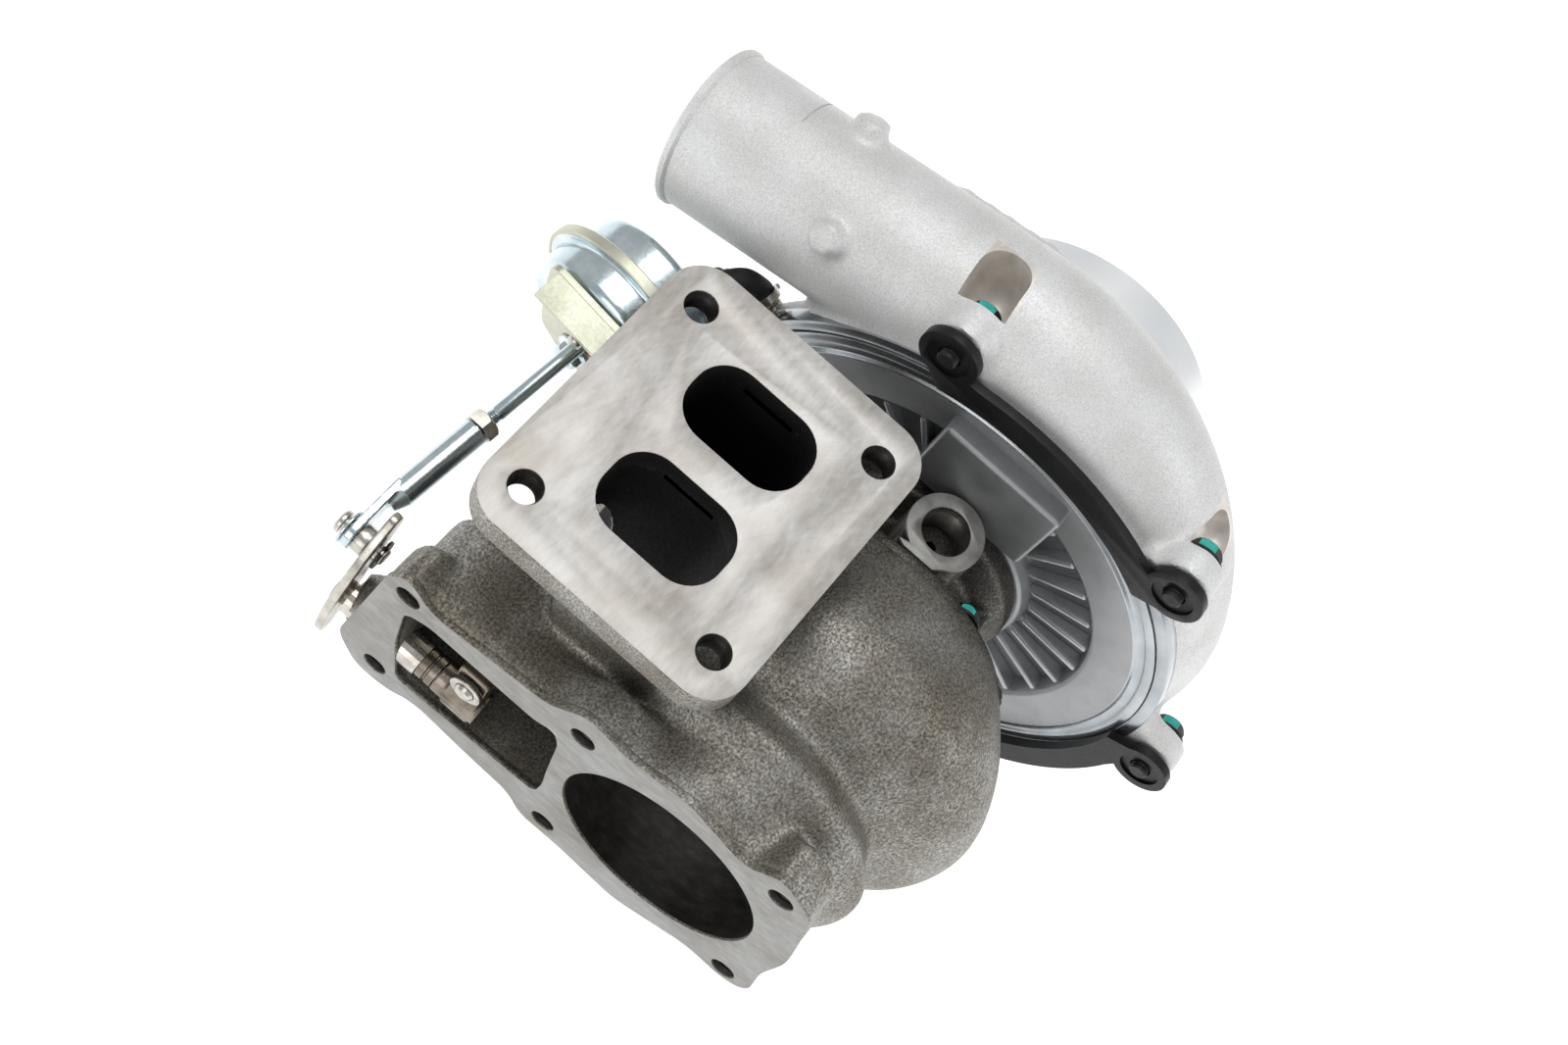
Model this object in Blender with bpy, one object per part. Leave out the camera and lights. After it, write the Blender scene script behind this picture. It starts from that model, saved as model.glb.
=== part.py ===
"""Turbocharger with a twin-entry turbine, a radial compressor and a swing-valve wastegate.

Lengths below are millimetres. The origin is the centre of the turbine inlet flange's face, and
Z points out of it. X runs along the rotor, from the turbine to the compressor. Every shape is
drawn from the rotor's axis: x along it, y and z across it, with the inlet flange above.
"""
from math import cos, pi, radians, sin, tau

import bmesh
import bpy
from mathutils import Matrix, Vector

for old in list(bpy.data.objects):
    bpy.data.objects.remove(old, do_unlink=True)

MM = 0.001
X_AXIS, Y_AXIS, Z_AXIS = Vector((1, 0, 0)), Vector((0, 1, 0)), Vector((0, 0, 1))
GAP = 0.3  # kept between neighbouring pieces

# ---- driving dimensions -------------------------------------------------------------------
INLET_Y = 72.0  # the inlet flange's centre, beside the rotor
INLET_Z = 100.0  # the inlet flange's face, above the rotor
INLET_SIZE = (125.5, 107.0)
INLET_CORNER = 15.0
INLET_THICK = 12.0
INLET_BOLTS = (92.0, 78.2)  # M12 pattern
M12_DRILL = 6.1
PORT_CENTRES = (-21.6, 23.5)
PORT_WIDTHS = (32.4, 31.0)
PORT_LENGTH = 48.0

OUTLET_X = -72.5
OUTLET_BORE = 41.2
OUTLET_DEPTH = 18.0
OUTLET_BOLTS = ((121, 29.6), (121, -41), (46, 38), (38, -48.6), (-37.4, 46.7), (-46, -40))
OUTLET_DRILL = 5.0

TURBINE_REAR_X = 46.0
TURBINE_REAR_R = 66.0
SCROLL_ROOT = 45.0  # radius that the two turbine scrolls grow from
SCROLL_REACH = 103.0  # outer radius under the inlet
SCROLL_LOSS = 0.1  # outer radius lost for each degree of turn
SCROLL_END = 300.0
TURBINE_BOLT_R = 56.6
TURBINE_BOLT_ANGLES = (20, 118, 160, 242, 290)  # from Y towards Z
NEAR_LOBE_R, VALLEY_R = 65.0, 58.5  # the smaller lobe beside the outlet, and the dip next to it

WHEEL_TIP = 40.9
EXDUCER_TIP = 35.6
SHAFT_R = 5.4
BEARING_BORE = 9.5

BACKPLATE_X = 89.8
BACKPLATE_FRONT_X = 101.0
BACKPLATE_R = 103.2
WINDOW_IN, WINDOW_OUT = 46.0, 76.0
FIN_COUNT = 16

COVER_BACK_X = 90.5
COVER_R = 108.4
COVER_WALL = 4.5
TUBE_R = 31.0
TUBE_CENTRE_X = 123.0
TUBE_END_Y = 158.6
TUBE_DROP = radians(12.4)  # how far the outlet tube slopes down from Y
TUBE_BOSSES = ((67.8, -53.5, 6.0), (55.0, 30.0, 6.5))  # back from the end, lean from the top, radius
TUBE_REACH = 103.7  # distance of the tube's centre line from the rotor
INTAKE_R = 57.6
INTAKE_X = 211.0

CLAMP_BOLT_R = 120.5
CLAMP_ANGLES = ((71.5, 127.5), (183.5, 239.5), (295.5, 351.5))  # from Y towards Z
CLAMP_X = 85.5
CLAMP_THICK = 4.0
CLAMP_END_R = 11.8
LUG_X = 104.3  # the faces that the clamp bolts' heads sit on

VALVE_SHAFT = (-65.0, -23.0)  # x, z of the wastegate shaft, which lies along Y
VALVE_Y = (72.0, 104.0)
VALVE_Z = -4.0
VALVE_SEAT_X = -50.0
LEVER_Y = 143.4
LEVER_THICK = 3.6
PIN = (-54.5, -1.5)  # x, z of the rod's pin
TONGUE_Y = 152.2
TONGUE_THICK = 3.6
ROD_R = 3.0

BRACKET_HOLE = Vector((55.0, 142.0, 16.9))
BRACKET_THICK = 2.6
CAN_RIM_R = 37.5
CAN_FRONT_R = 32.5
CAN_REAR_R = 30.0
CAN_RIM_S = 17.0  # distances along the rod's line from the bracket
CAN_END_S = 38.0

FINISHES = {  # base colour, roughness, metallic
    "cast_iron": ((0.21, 0.21, 0.20), 0.62, 0.75),
    "cast_aluminium": ((0.72, 0.73, 0.74), 0.48, 0.70),
    "turned_aluminium": ((0.78, 0.79, 0.80), 0.28, 0.90),
    "black_steel": ((0.035, 0.035, 0.037), 0.42, 0.50),
    "bright_steel": ((0.55, 0.54, 0.52), 0.25, 1.00),
    "valve_steel": ((0.50, 0.46, 0.40), 0.45, 0.90),
    "zinc_plate": ((0.62, 0.68, 0.70), 0.30, 0.90),
    "yellow_zinc": ((0.62, 0.61, 0.50), 0.38, 0.80),
    "bronze": ((0.55, 0.36, 0.18), 0.38, 0.95),
    "nickel_alloy": ((0.42, 0.41, 0.40), 0.36, 0.95),
    "rubber": ((0.020, 0.020, 0.021), 0.70, 0.00),
    "spring_steel": ((0.30, 0.31, 0.33), 0.35, 0.90),
}

# ---- frames -------------------------------------------------------------------------------


def empty(name, place, parent=None):
    frame = bpy.data.objects.new(name, None)
    bpy.context.collection.objects.link(frame)
    frame.parent = parent
    frame.location = Vector(place) * MM
    return frame


rotor_axis = empty("rotor_axis", (0, -INLET_Y, -INLET_Z))
valve_pivot = empty("valve_pivot", (VALVE_SHAFT[0], LEVER_Y, VALVE_SHAFT[1]), rotor_axis)
pin_pivot = empty("pin_pivot", (PIN[0], TONGUE_Y, PIN[1]), rotor_axis)
PIVOT_PLACES = {
    rotor_axis: Vector((0, 0, 0)),
    valve_pivot: Vector((VALVE_SHAFT[0], LEVER_Y, VALVE_SHAFT[1])),
    pin_pivot: Vector((PIN[0], TONGUE_Y, PIN[1])),
}

# ---- making solids ------------------------------------------------------------------------


def finish_material(name):
    made = bpy.data.materials.get(name)
    if made:
        return made
    colour, rough, metal = FINISHES[name]
    made = bpy.data.materials.new(name)
    made.use_nodes = True
    shader = made.node_tree.nodes["Principled BSDF"]
    shader.inputs["Base Color"].default_value = (*colour, 1)
    shader.inputs["Roughness"].default_value = rough
    shader.inputs["Metallic"].default_value = metal
    return made


def solid(name, bm, finish, pivot=rotor_axis):
    """Turn a bmesh drawn in millimetres from the rotor's axis into an object on its pivot."""
    bmesh.ops.remove_doubles(bm, verts=bm.verts, dist=1e-4)
    bmesh.ops.recalc_face_normals(bm, faces=bm.faces)
    bm.transform(Matrix.Scale(MM, 4) @ Matrix.Translation(-PIVOT_PLACES[pivot]))
    mesh = bpy.data.meshes.new(name)
    bm.to_mesh(mesh)
    bm.free()
    mesh.shade_smooth()
    mesh.set_sharp_from_angle(angle=radians(35))
    mesh.materials.append(finish_material(finish))
    piece = bpy.data.objects.new(name, mesh)
    bpy.context.collection.objects.link(piece)
    piece.parent = pivot
    return piece


def boolean(piece, operation, tools, solver="EXACT"):
    for tool in tools:
        step = piece.modifiers.new(operation.lower(), "BOOLEAN")
        step.operation = operation
        step.solver = solver
        step.object = tool
        tool.hide_render = True
        tool.display_type = "WIRE"
    return piece


def cut(piece, *tools, solver="EXACT"):
    return boolean(piece, "DIFFERENCE", tools, solver)


def fuse(piece, *tools, solver="EXACT"):
    return boolean(piece, "UNION", tools, solver)


def turned(name, profile, finish="cast_iron", sides=24, at=(0, 0, 0), along=X_AXIS, pivot=rotor_axis):
    """Turn a section, given as (distance along, radius) points, about a line through `at`."""
    bm = bmesh.new()
    verts = [bm.verts.new((along_line, 0, radius)) for along_line, radius in profile]
    edges = [bm.edges.new(pair) for pair in zip(verts, verts[1:])]
    if min(radius for _, radius in profile) > 0:
        edges.append(bm.edges.new((verts[-1], verts[0])))
    bmesh.ops.spin(
        bm, geom=verts + edges, cent=(0, 0, 0), axis=(1, 0, 0), angle=tau, steps=sides, use_merge=True
    )
    turn = X_AXIS.rotation_difference(Vector(along)).to_matrix().to_4x4()
    bm.transform(Matrix.Translation(Vector(at)) @ turn)
    return solid(name, bm, finish, pivot)


def rod(name, start, end, radius, finish="cast_iron", sides=16, end_radius=None, pivot=rotor_axis):
    start, end = Vector(start), Vector(end)
    length = (end - start).length
    profile = [(0, 0), (0, radius), (length, end_radius or radius), (length, 0)]
    return turned(name, profile, finish, sides, start, (end - start).normalized(), pivot)


def prism(name, outline, low, high, across="X", finish="cast_iron", shrink=1.0, pivot=rotor_axis):
    """Extrude an outline along X, Y or Z; its two numbers are the other axes in order."""
    orders = {"X": lambda a, b, h: (h, a, b), "Y": lambda a, b, h: (a, h, b), "Z": lambda a, b, h: (a, b, h)}
    bm = bmesh.new()
    base = bm.faces.new([bm.verts.new(orders[across](a, b, low)) for a, b in outline])
    grown = bmesh.ops.extrude_face_region(bm, geom=[base])["geom"]
    top = [v for v in grown if isinstance(v, bmesh.types.BMVert)]
    bmesh.ops.translate(bm, verts=top, vec=Vector(orders[across](0, 0, high - low)))
    if shrink != 1.0:
        centre = sum((v.co for v in top), Vector()) / len(top)
        for v in top:
            v.co = centre + (v.co - centre) * shrink
    return solid(name, bm, finish, pivot)


def plate(name, outline, low, high, at, along, up, finish, pivot=rotor_axis):
    """Extrude an outline along any line; `up` is roughly the direction of its second number."""
    along = Vector(along).normalized()
    side = Vector(up).cross(along).normalized()
    frame = Matrix((side, along.cross(side), along)).transposed().to_4x4()
    bm = bmesh.new()
    base = bm.faces.new([bm.verts.new((a, b, low)) for a, b in outline])
    grown = bmesh.ops.extrude_face_region(bm, geom=[base])["geom"]
    top = [v for v in grown if isinstance(v, bmesh.types.BMVert)]
    bmesh.ops.translate(bm, verts=top, vec=(0, 0, high - low))
    bm.transform(Matrix.Translation(Vector(at)) @ frame)
    return solid(name, bm, finish, pivot)


def loft(name, rings, finish="cast_iron", closed=False, pivot=rotor_axis):
    """Skin rings of equal length, and cap the two ends unless the loft runs back to its start."""
    bm = bmesh.new()
    rows = [[bm.verts.new(point) for point in ring] for ring in rings]
    pairs = list(zip(rows, rows[1:])) + ([(rows[-1], rows[0])] if closed else [])
    for one, two in pairs:
        for i in range(len(one)):
            j = (i + 1) % len(one)
            bm.faces.new((one[i], one[j], two[j], two[i]))
    if not closed:
        bm.faces.new(rows[0])
        bm.faces.new(rows[-1])
    return solid(name, bm, finish, pivot)


def rounded(points, radius, steps=3):
    """A closed outline with each corner turned into an arc, as far as its sides allow."""
    outline = []
    for i, here in enumerate(points):
        here = Vector(here)
        before, after = Vector(points[i - 1]), Vector(points[(i + 1) % len(points)])
        to_before, to_after = (before - here), (after - here)
        reach = min(radius, 0.45 * to_before.length, 0.45 * to_after.length)
        start, end = here + to_before.normalized() * reach, here + to_after.normalized() * reach
        for k in range(steps + 1):
            t = k / steps
            outline.append(tuple(start * (1 - t) ** 2 + here * 2 * t * (1 - t) + end * t * t))
    return outline


def rectangle(centre, size, corner, steps=4):
    """A rectangle with quarter-circle corners."""
    outline = []
    for quarter, (sx, sy) in enumerate(((1, 1), (-1, 1), (-1, -1), (1, -1))):
        cx = centre[0] + sx * (size[0] / 2 - corner)
        cy = centre[1] + sy * (size[1] / 2 - corner)
        for k in range(steps + 1):
            turn = (quarter + k / steps) * pi / 2
            outline.append((cx + corner * cos(turn), cy + corner * sin(turn)))
    return outline


def circle(centre, radius, sides=16, start=0.0):
    return [
        (centre[0] + radius * cos(start + tau * k / sides), centre[1] + radius * sin(start + tau * k / sides))
        for k in range(sides)
    ]


def ease(t):
    t = min(max(t, 0.0), 1.0)
    return t * t * (3 - 2 * t)


def mix(one, two, t):
    return one + (two - one) * t


def spline(points, steps):
    """Catmull-Rom curve through 2-D points, with its ends included."""
    ends = [Vector(points[0]) * 2 - Vector(points[1]), *map(Vector, points)]
    ends.append(Vector(points[-1]) * 2 - Vector(points[-2]))
    curve = []
    for a, b, c, d in zip(ends, ends[1:], ends[2:], ends[3:]):
        for k in range(steps):
            t = k / steps
            curve.append(
                0.5 * (2 * b + (c - a) * t + (2 * a - 5 * b + 4 * c - d) * t * t
                       + (3 * b - a - 3 * c + d) * t ** 3)
            )
    curve.append(Vector(points[-1]))
    return curve


def stacked(name, levels, finish, at, along, closed=False, pivot=rotor_axis):
    """A fastener built up of 12-sided rings: each level is (distance, radius, is it a hexagon)."""
    along = Vector(along).normalized()
    side = along.orthogonal().normalized()
    up = along.cross(side)
    rings = []
    for distance, radius, hexagon in levels:
        ring = []
        for k in range(12):
            reach = radius * (cos(pi / 6) if hexagon and k % 2 else 1.0)
            turn = tau * k / 12
            ring.append(Vector(at) + along * distance + (side * cos(turn) + up * sin(turn)) * reach)
        rings.append(ring)
    return loft(name, rings, finish, closed, pivot)


def bolt(name, seat, towards, shank_r, shank, head_r, head, flange, finish="black_steel"):
    """Hex-headed flange bolt: its flange sits at `seat`, and its shank runs along `towards`."""
    levels = [
        (-head, head_r * 0.88, False), (-head + 0.6, head_r, True), (-1.5, head_r, True),
        (-1.4, flange, False),
        (0, flange, False), (0, shank_r, False), (shank, shank_r, False),
    ]
    return stacked(name, levels, finish, seat, towards)


def nut(name, seat, towards, bore_r, nut_r, height, flange=0.0, finish="bright_steel", pivot=rotor_axis):
    """Hex nut standing on `seat` and rising along `towards`."""
    levels = [(0, bore_r, False), (0, flange or nut_r * 0.93, False), (1.2, flange or nut_r, not flange)]
    if flange:
        levels.append((1.5, nut_r, True))
    levels += [(height - 0.7, nut_r, True), (height, nut_r * 0.88, False), (height, bore_r, False)]
    return stacked(name, levels, finish, seat, towards, True, pivot)


# ---- turbine housing ----------------------------------------------------------------------


def scroll_point(x, radius, angle):
    """A point at `angle` degrees from +Y towards -Z, the way the gas turns."""
    return Vector((x, radius * cos(radians(angle)), -radius * sin(radians(angle))))


def turbine_reach(angle):
    return SCROLL_REACH - SCROLL_LOSS * angle


def turbine_section(reach, blend):
    """Outer twin-lobed section as (x, radius): blend 0 is under the flange, 1 in the scroll."""
    grown = reach - SCROLL_ROOT
    front = (mix(-46, -55, blend), mix(SCROLL_ROOT + 0.80 * grown, 54.0, blend))
    near = (mix(-24, -41, blend), mix(SCROLL_ROOT + grown, NEAR_LOBE_R, blend))
    valley = (mix(1, -26, blend), mix(SCROLL_ROOT + 0.93 * grown, VALLEY_R, blend))
    shoulder = (mix(13, -14, blend), SCROLL_ROOT + mix(0.97, 0.78, blend) * grown)
    far = (mix(26, 5, blend), SCROLL_ROOT + grown)
    slope = (mix(36, 27, blend), SCROLL_ROOT + mix(0.96, 0.86, blend) * grown)
    rear = (TURBINE_REAR_X, mix(SCROLL_ROOT + 0.80 * grown, TURBINE_REAR_R, blend))
    outer = spline([front, near, valley, shoulder, far, slope, rear], 2)
    return [(TURBINE_REAR_X, 41.0), (front[0], 41.0)] + [tuple(point) for point in outer]


def turbine_wrap(name, angles, inlet_levels=()):
    """Part of the body: the straight inlet's levels first, then a ring at each angle."""
    rings = []
    for z in inlet_levels:
        section = turbine_section(SCROLL_REACH, ease(1 - z / 88) * 0.5)
        rings.append([Vector((x, radius, z)) for x, radius in section])
    for angle in angles:
        section = turbine_section(turbine_reach(angle), mix(0.5, 1.0, ease(angle / 90)))
        rings.append([scroll_point(x, radius, angle) for x, radius in section])
    return loft(name, rings)


def turbine_channel(name, index):
    """One scroll's gas passage, from its port in the flange to its tongue."""
    port_x, port_half = PORT_CENTRES[index], PORT_WIDTHS[index] / 2
    scroll_x, scroll_half, scroll_inner = ((-39.0, 10.0, 47.0), (7.0, 20.0, 53.0))[index]
    wall = 5.5

    def ring(place, x, half, inner, outer):
        middle, height = (inner + outer) / 2, (outer - inner) / 2
        points = []
        for k in range(10):
            turn = tau * (k + 0.5) / 10
            across = abs(cos(turn)) ** 0.7 * (1 if cos(turn) > 0 else -1)
            up = abs(sin(turn)) ** 0.7 * (1 if sin(turn) > 0 else -1)
            points.append(place(x + half * across, middle + height * up))
        return points

    top, bottom = INLET_Y + PORT_LENGTH / 2, INLET_Y - PORT_LENGTH / 2
    rings = []
    for z in (INLET_Z + 1, INLET_Z - 12, 60, 30):
        rings.append(ring(lambda x, r, z=z: Vector((x, r, z)), port_x, port_half, bottom, top))
    steps = 9
    for step in range(steps + 1):
        angle = SCROLL_END * step / steps
        blend = ease(angle / 75)
        scroll_outer = (NEAR_LOBE_R if index == 0 else turbine_reach(angle)) - wall
        outer = mix(top, scroll_outer, blend)
        rings.append(
            ring(
                lambda x, r, a=angle: scroll_point(x, r, a),
                mix(port_x, scroll_x, blend), mix(port_half, scroll_half, blend),
                mix(bottom, scroll_inner, blend), outer,
            )
        )
    return loft(name, rings)


OUTLET_OUTLINE = (
    (139, -40), (131, 33), (124, 43), (111, 33), (62, 41), (49, 55.5), (30, 51), (6, 57), (-21, 48),
    (-33, 61), (-49, 51), (-57, 5), (-55, -19), (-58, -41), (-50, -48), (-31, -47), (0, -61),
    (28, -58), (47, -59), (54, -50), (74, -48.5), (102, -45), (113, -53), (128, -54),
)
CHAMBER_BODY = ((44, -47), (100, -46), (128, -47), (136, -38), (129, 30), (122, 39), (62, 40), (44, 44))
CHAMBER = (
    (119.6, 17), (110, 22), (62, 22), (55.4, 26), (51.5, 20), (48.5, -9), (46.8, -20), (47.5, -31),
    (112, -37), (118, -10),
)


def make_turbine_housing():
    neck_levels = (INLET_Z - INLET_THICK + 4, 58, 28)
    housing = turbine_wrap("turbine_housing", [k * 22.5 for k in range(9)], neck_levels)
    last_half = turbine_wrap("turbine_wrap", [178.5] + [k * 22.5 for k in range(9, 16)])
    core = turned(
        "turbine_core",
        [(-60, 30), (-60, 56.5), (-50, 57), (20, 60), (TURBINE_REAR_X, 60), (TURBINE_REAR_X, 30)], sides=20,
    )
    outlet = prism("outlet_flange", rounded(OUTLET_OUTLINE, 9, 2), OUTLET_X, OUTLET_X + OUTLET_DEPTH)
    chamber_body = prism("chamber_body", rounded(CHAMBER_BODY, 9, 2), OUTLET_X + 4, -34, shrink=0.93)
    boss = rod(
        "shaft_boss", (VALVE_SHAFT[0] + 6, 120, VALVE_SHAFT[1]),
        (VALVE_SHAFT[0] + 1, LEVER_Y - 2.4, VALVE_SHAFT[1]),
        17, sides=20, end_radius=9.5,
    )
    flange = prism(
        "inlet_flange", rectangle((0, INLET_Y), INLET_SIZE, INLET_CORNER), INLET_Z - INLET_THICK, INLET_Z, "Z"
    )
    fuse(housing, last_half, core, outlet, chamber_body, boss, flange, solver="MANIFOLD")
    bore = [
        (OUTLET_X - 3, 0), (OUTLET_X - 3, OUTLET_BORE), (-46, OUTLET_BORE), (-41, 36.4), (-22, 36.4),
        (-16, 41.7), (2, 41.7), (6, 44.5), (13, 44.5), (13, 50.3), (60, 50.3), (60, 0),
    ]
    throat = [(-14, 40), (0, 40), (5, 54.6), (-35, 54.6)]
    cut(
        housing,
        turned("turbine_bore", bore),
        turbine_channel("near_scroll", 0),
        turbine_channel("far_scroll", 1),
        turned("turbine_throat", throat, sides=18),
        prism("chamber_hollow", rounded(CHAMBER, 4, 2), OUTLET_X - 3, VALVE_SEAT_X),
        rod("shaft_hole", (VALVE_SHAFT[0], 100, VALVE_SHAFT[1]), (VALVE_SHAFT[0], 160, VALVE_SHAFT[1]), 7.2),
        solver="MANIFOLD",
    )
    for y, deep_y in zip(VALVE_Y, (72, 84)):
        mouth = rod(f"valve_port_{y:.0f}", (VALVE_SEAT_X - 3, y, VALVE_Z), (-42, y, VALVE_Z), 8.5)
        deep = rod(f"valve_passage_{y:.0f}", (-43, y - 0.7, VALVE_Z), (-28, deep_y - 0.7, VALVE_Z), 7.9)
        cut(housing, mouth, deep, solver="MANIFOLD")
    for sx in (-1, 1):
        for sy in (-1, 1):
            x, y = sx * INLET_BOLTS[0] / 2, INLET_Y + sy * INLET_BOLTS[1] / 2
            ends = (x, y, INLET_Z - 30), (x, y, INLET_Z + 5)
            hole = rod(f"inlet_hole_{x:.0f}_{y:.0f}", *ends, M12_DRILL, sides=14)
            cut(housing, hole, solver="MANIFOLD")
    for y, z in OUTLET_BOLTS:
        ends = (OUTLET_X - 5, y, z), (OUTLET_X + 14, y, z)
        hole = rod(f"outlet_hole_{y:.0f}_{z:.0f}", *ends, OUTLET_DRILL, sides=12)
        cut(housing, hole, solver="MANIFOLD")
    for angle in TURBINE_BOLT_ANGLES:
        _, y, z = around(angle, TURBINE_BOLT_R)
        cut(housing, rod(f"rear_hole_{angle}", (34, y, z), (60, y, z), 3.4, sides=10), solver="MANIFOLD")
    return housing


def around(angle, radius, x=0.0):
    """A point at `angle` degrees from +Y towards +Z."""
    return Vector((x, radius * cos(radians(angle)), radius * sin(radians(angle))))


make_turbine_housing()

# ---- bearing housing ----------------------------------------------------------------------

PORT = Vector((66.5, -1.5, 62.0))  # oil inlet boss, facing up
PORT_R = 15.0
PORT_DRILL = 9.3
DRAIN_X, DRAIN_Z = 66.5, -54.0


def make_bearing_housing():
    outer = [
        (13.8, BEARING_BORE), (13.8, 28), (34, 31), (38, 49.8), (46.2, 49.8), (46.2, 43), (53, 33),
        (75, 33), (82, 45), (89.4, 45), (89.4, 27.5), (78, 27.5), (78, BEARING_BORE),
    ]
    housing = turned("bearing_housing", outer)
    port_boss = rod("port_boss", PORT - Z_AXIS * 33.6, PORT, PORT_R, sides=18)
    ear = prism("port_ear", rounded(((51, 9), (51, -12), (58, -15), (58, 12)), 4, 2), 40, PORT.z - 6, "Z")
    drain = prism("drain_pad", rectangle((DRAIN_X, 0), (21, 46), 6, 2), DRAIN_Z, -20, "Z")
    fuse(housing, port_boss, ear, drain, solver="MANIFOLD")
    for angle in (35, 155, 205, 330):
        rib = prism(f"rib_{angle}", ((46, 3), (46, -3), (84, -3), (84, 3)), 30.5, 40, "Z")
        rib.rotation_euler = (radians(angle - 90), 0, 0)
        fuse(housing, rib, solver="MANIFOLD")
    cut(
        housing,
        rod("port_drill", PORT - Z_AXIS * 16, PORT + Z_AXIS * 2, PORT_DRILL, sides=16),
        rod("oil_gallery", PORT - Z_AXIS * 60, PORT - Z_AXIS * 10, 2.5, sides=8),
        rod("drain_drill", (DRAIN_X - 3, 0, DRAIN_Z - 2), (DRAIN_X - 3, 0, -12), 8.0, sides=14),
        turned("oil_hollow", [(44, 5), (44, 22), (59.6, 22), (59.6, 5)], sides=20),
        solver="MANIFOLD",
    )
    return housing


make_bearing_housing()

# ---- turbine end: shield, clamps, bolts -----------------------------------------------------

turned(
    "heat_shield",
    [(10.8, 12.0), (10.8, 34), (11.9, 44.1), (13.2, 44.1), (12.2, 34), (12.2, 12.0)], "nickel_alloy", 24,
)


def arc_outline(inner, outer, start, end, steps):
    """A curved strip about the rotor's axis, from start to end degrees, as (y, z)."""
    angles = [radians(mix(start, end, k / steps)) for k in range(steps + 1)]
    outline = [(outer * cos(a), outer * sin(a)) for a in angles]
    return outline + [(inner * cos(a), inner * sin(a)) for a in reversed(angles)]


for number, (start, end, held) in enumerate(((6, 172, (20, 118, 160)), (228, 304, (242, 290))), 1):
    clamp = prism(
        f"turbine_clamp_{number}", arc_outline(45.5, 62.5, start, end, 10 if number == 1 else 5),
        TURBINE_REAR_X + GAP, TURBINE_REAR_X + GAP + 4, finish="cast_iron",
    )
    for angle in held:
        hole = around(angle, TURBINE_BOLT_R)
        cut(clamp, rod(f"clamp_hole_{angle}", hole + X_AXIS * 40, hole + X_AXIS * 60, 3.4, sides=10))
for number, angle in enumerate(TURBINE_BOLT_ANGLES, 1):
    seat = around(angle, TURBINE_BOLT_R, TURBINE_REAR_X + 4 + 2 * GAP)
    bolt(f"turbine_bolt_{number}", seat, -X_AXIS, 3.0, 14, 5.4, 4.5, 6.4)

# ---- rotor --------------------------------------------------------------------------------


def blades(name, hub, tip, thickness, wrap, count, start=0.0, finish="nickel_alloy"):
    """Curved vanes between a hub line and a tip line, both as (x, radius) points."""
    bm = bmesh.new()
    last = len(hub) - 1
    for number in range(count):
        rows = []
        for k in range(len(hub)):
            turn = radians(start + 360 * number / count + wrap * (k / last) ** 1.5)
            row = []
            for (x, radius), thick in ((hub[k], thickness), (tip[k], thickness * 0.6)):
                half = thick / 2 / max(radius, 6)
                for side in (-1, 1):
                    a = turn + side * half
                    row.append(bm.verts.new((x, radius * cos(a), radius * sin(a))))
            rows.append((row[0], row[1], row[3], row[2]))
        for one, two in zip(rows, rows[1:]):
            for i in range(4):
                j = (i + 1) % 4
                bm.faces.new((one[i], one[j], two[j], two[i]))
        bm.faces.new(rows[0])
        bm.faces.new(rows[-1])
    return solid(name, bm, finish)


shaft = turned(
    "shaft_and_turbine_wheel",
    [
        (-36, 0), (-36, 5), (-33, 7.5), (-18, 12), (-8, 18), (-2, 27), (1, 37), (3, 38.5),
        (6, 37), (8, 28), (10.2, 8.7), (21.6, 8.7), (21.6, 7.6), (23.4, 7.6), (23.4, 8.7),
        (25, 8.7), (25, SHAFT_R), (79, SHAFT_R), (79, 3.9), (166, 3.9), (166, 0),
    ],
    "nickel_alloy",
)
fuse(
    shaft,
    blades(
        "turbine_blades",
        [(0.5, 35), (-6, 17), (-17, 9.5), (-31, 6.5)],
        [(-13, WHEEL_TIP), (-16, 38), (-21, EXDUCER_TIP), (-31, EXDUCER_TIP)],
        2.0, 42, 10,
    ),
)
shroud_tip = [(146, 38.2), (129, 39.2), (115.5, 46.8), (107, 56.6)]
wheel = turned(
    "compressor_wheel",
    [
        (101.8, 4.3), (101.8, 30), (101.5, 56.6), (102.8, 56.6), (105, 45), (110, 32), (120, 21),
        (134, 14.5), (152, 11), (152, 4.3),
    ],
    "turned_aluminium",
)
main_hub = [(147, 9), (124, 15.5), (108, 30), (102.1, 56.2)]
full_blades = blades("full_blades", main_hub, shroud_tip, 1.7, -48, 6, 0, "turned_aluminium")
fuse(wheel, full_blades, solver="MANIFOLD")
short_hub = [(132, 12.5), (118, 18.5), (106.5, 34), (102.1, 56.2)]
short_tip = [(129, 39.2), (119, 44.2), (111.5, 51), (107, 56.6)]
splitters = blades("splitter_blades", short_hub, short_tip, 1.6, -44, 6, 26, "turned_aluminium")
fuse(wheel, splitters, solver="MANIFOLD")
nut("compressor_nut", (152.3, 0, 0), X_AXIS, 4.2, 8.0, 7.5)
for name, low, high in (("turbine_journal_bush", 28, 42), ("compressor_journal_bush", 60, 74)):
    turned(name, [(low, 5.55), (low, 9.3), (high, 9.3), (high, 5.55)], "bronze")
turned(
    "thrust_collar",
    [(79.4, 4.05), (79.4, 11), (81.2, 11), (81.2, 7.4), (84.2, 7.4), (84.2, 11), (86, 11), (86, 4.05)],
    "bright_steel", 20,
)
turned("thrust_bearing", [(81.5, 7.8), (81.5, 27.1), (83.9, 27.1), (83.9, 7.8)], "bronze", 20)
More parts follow.
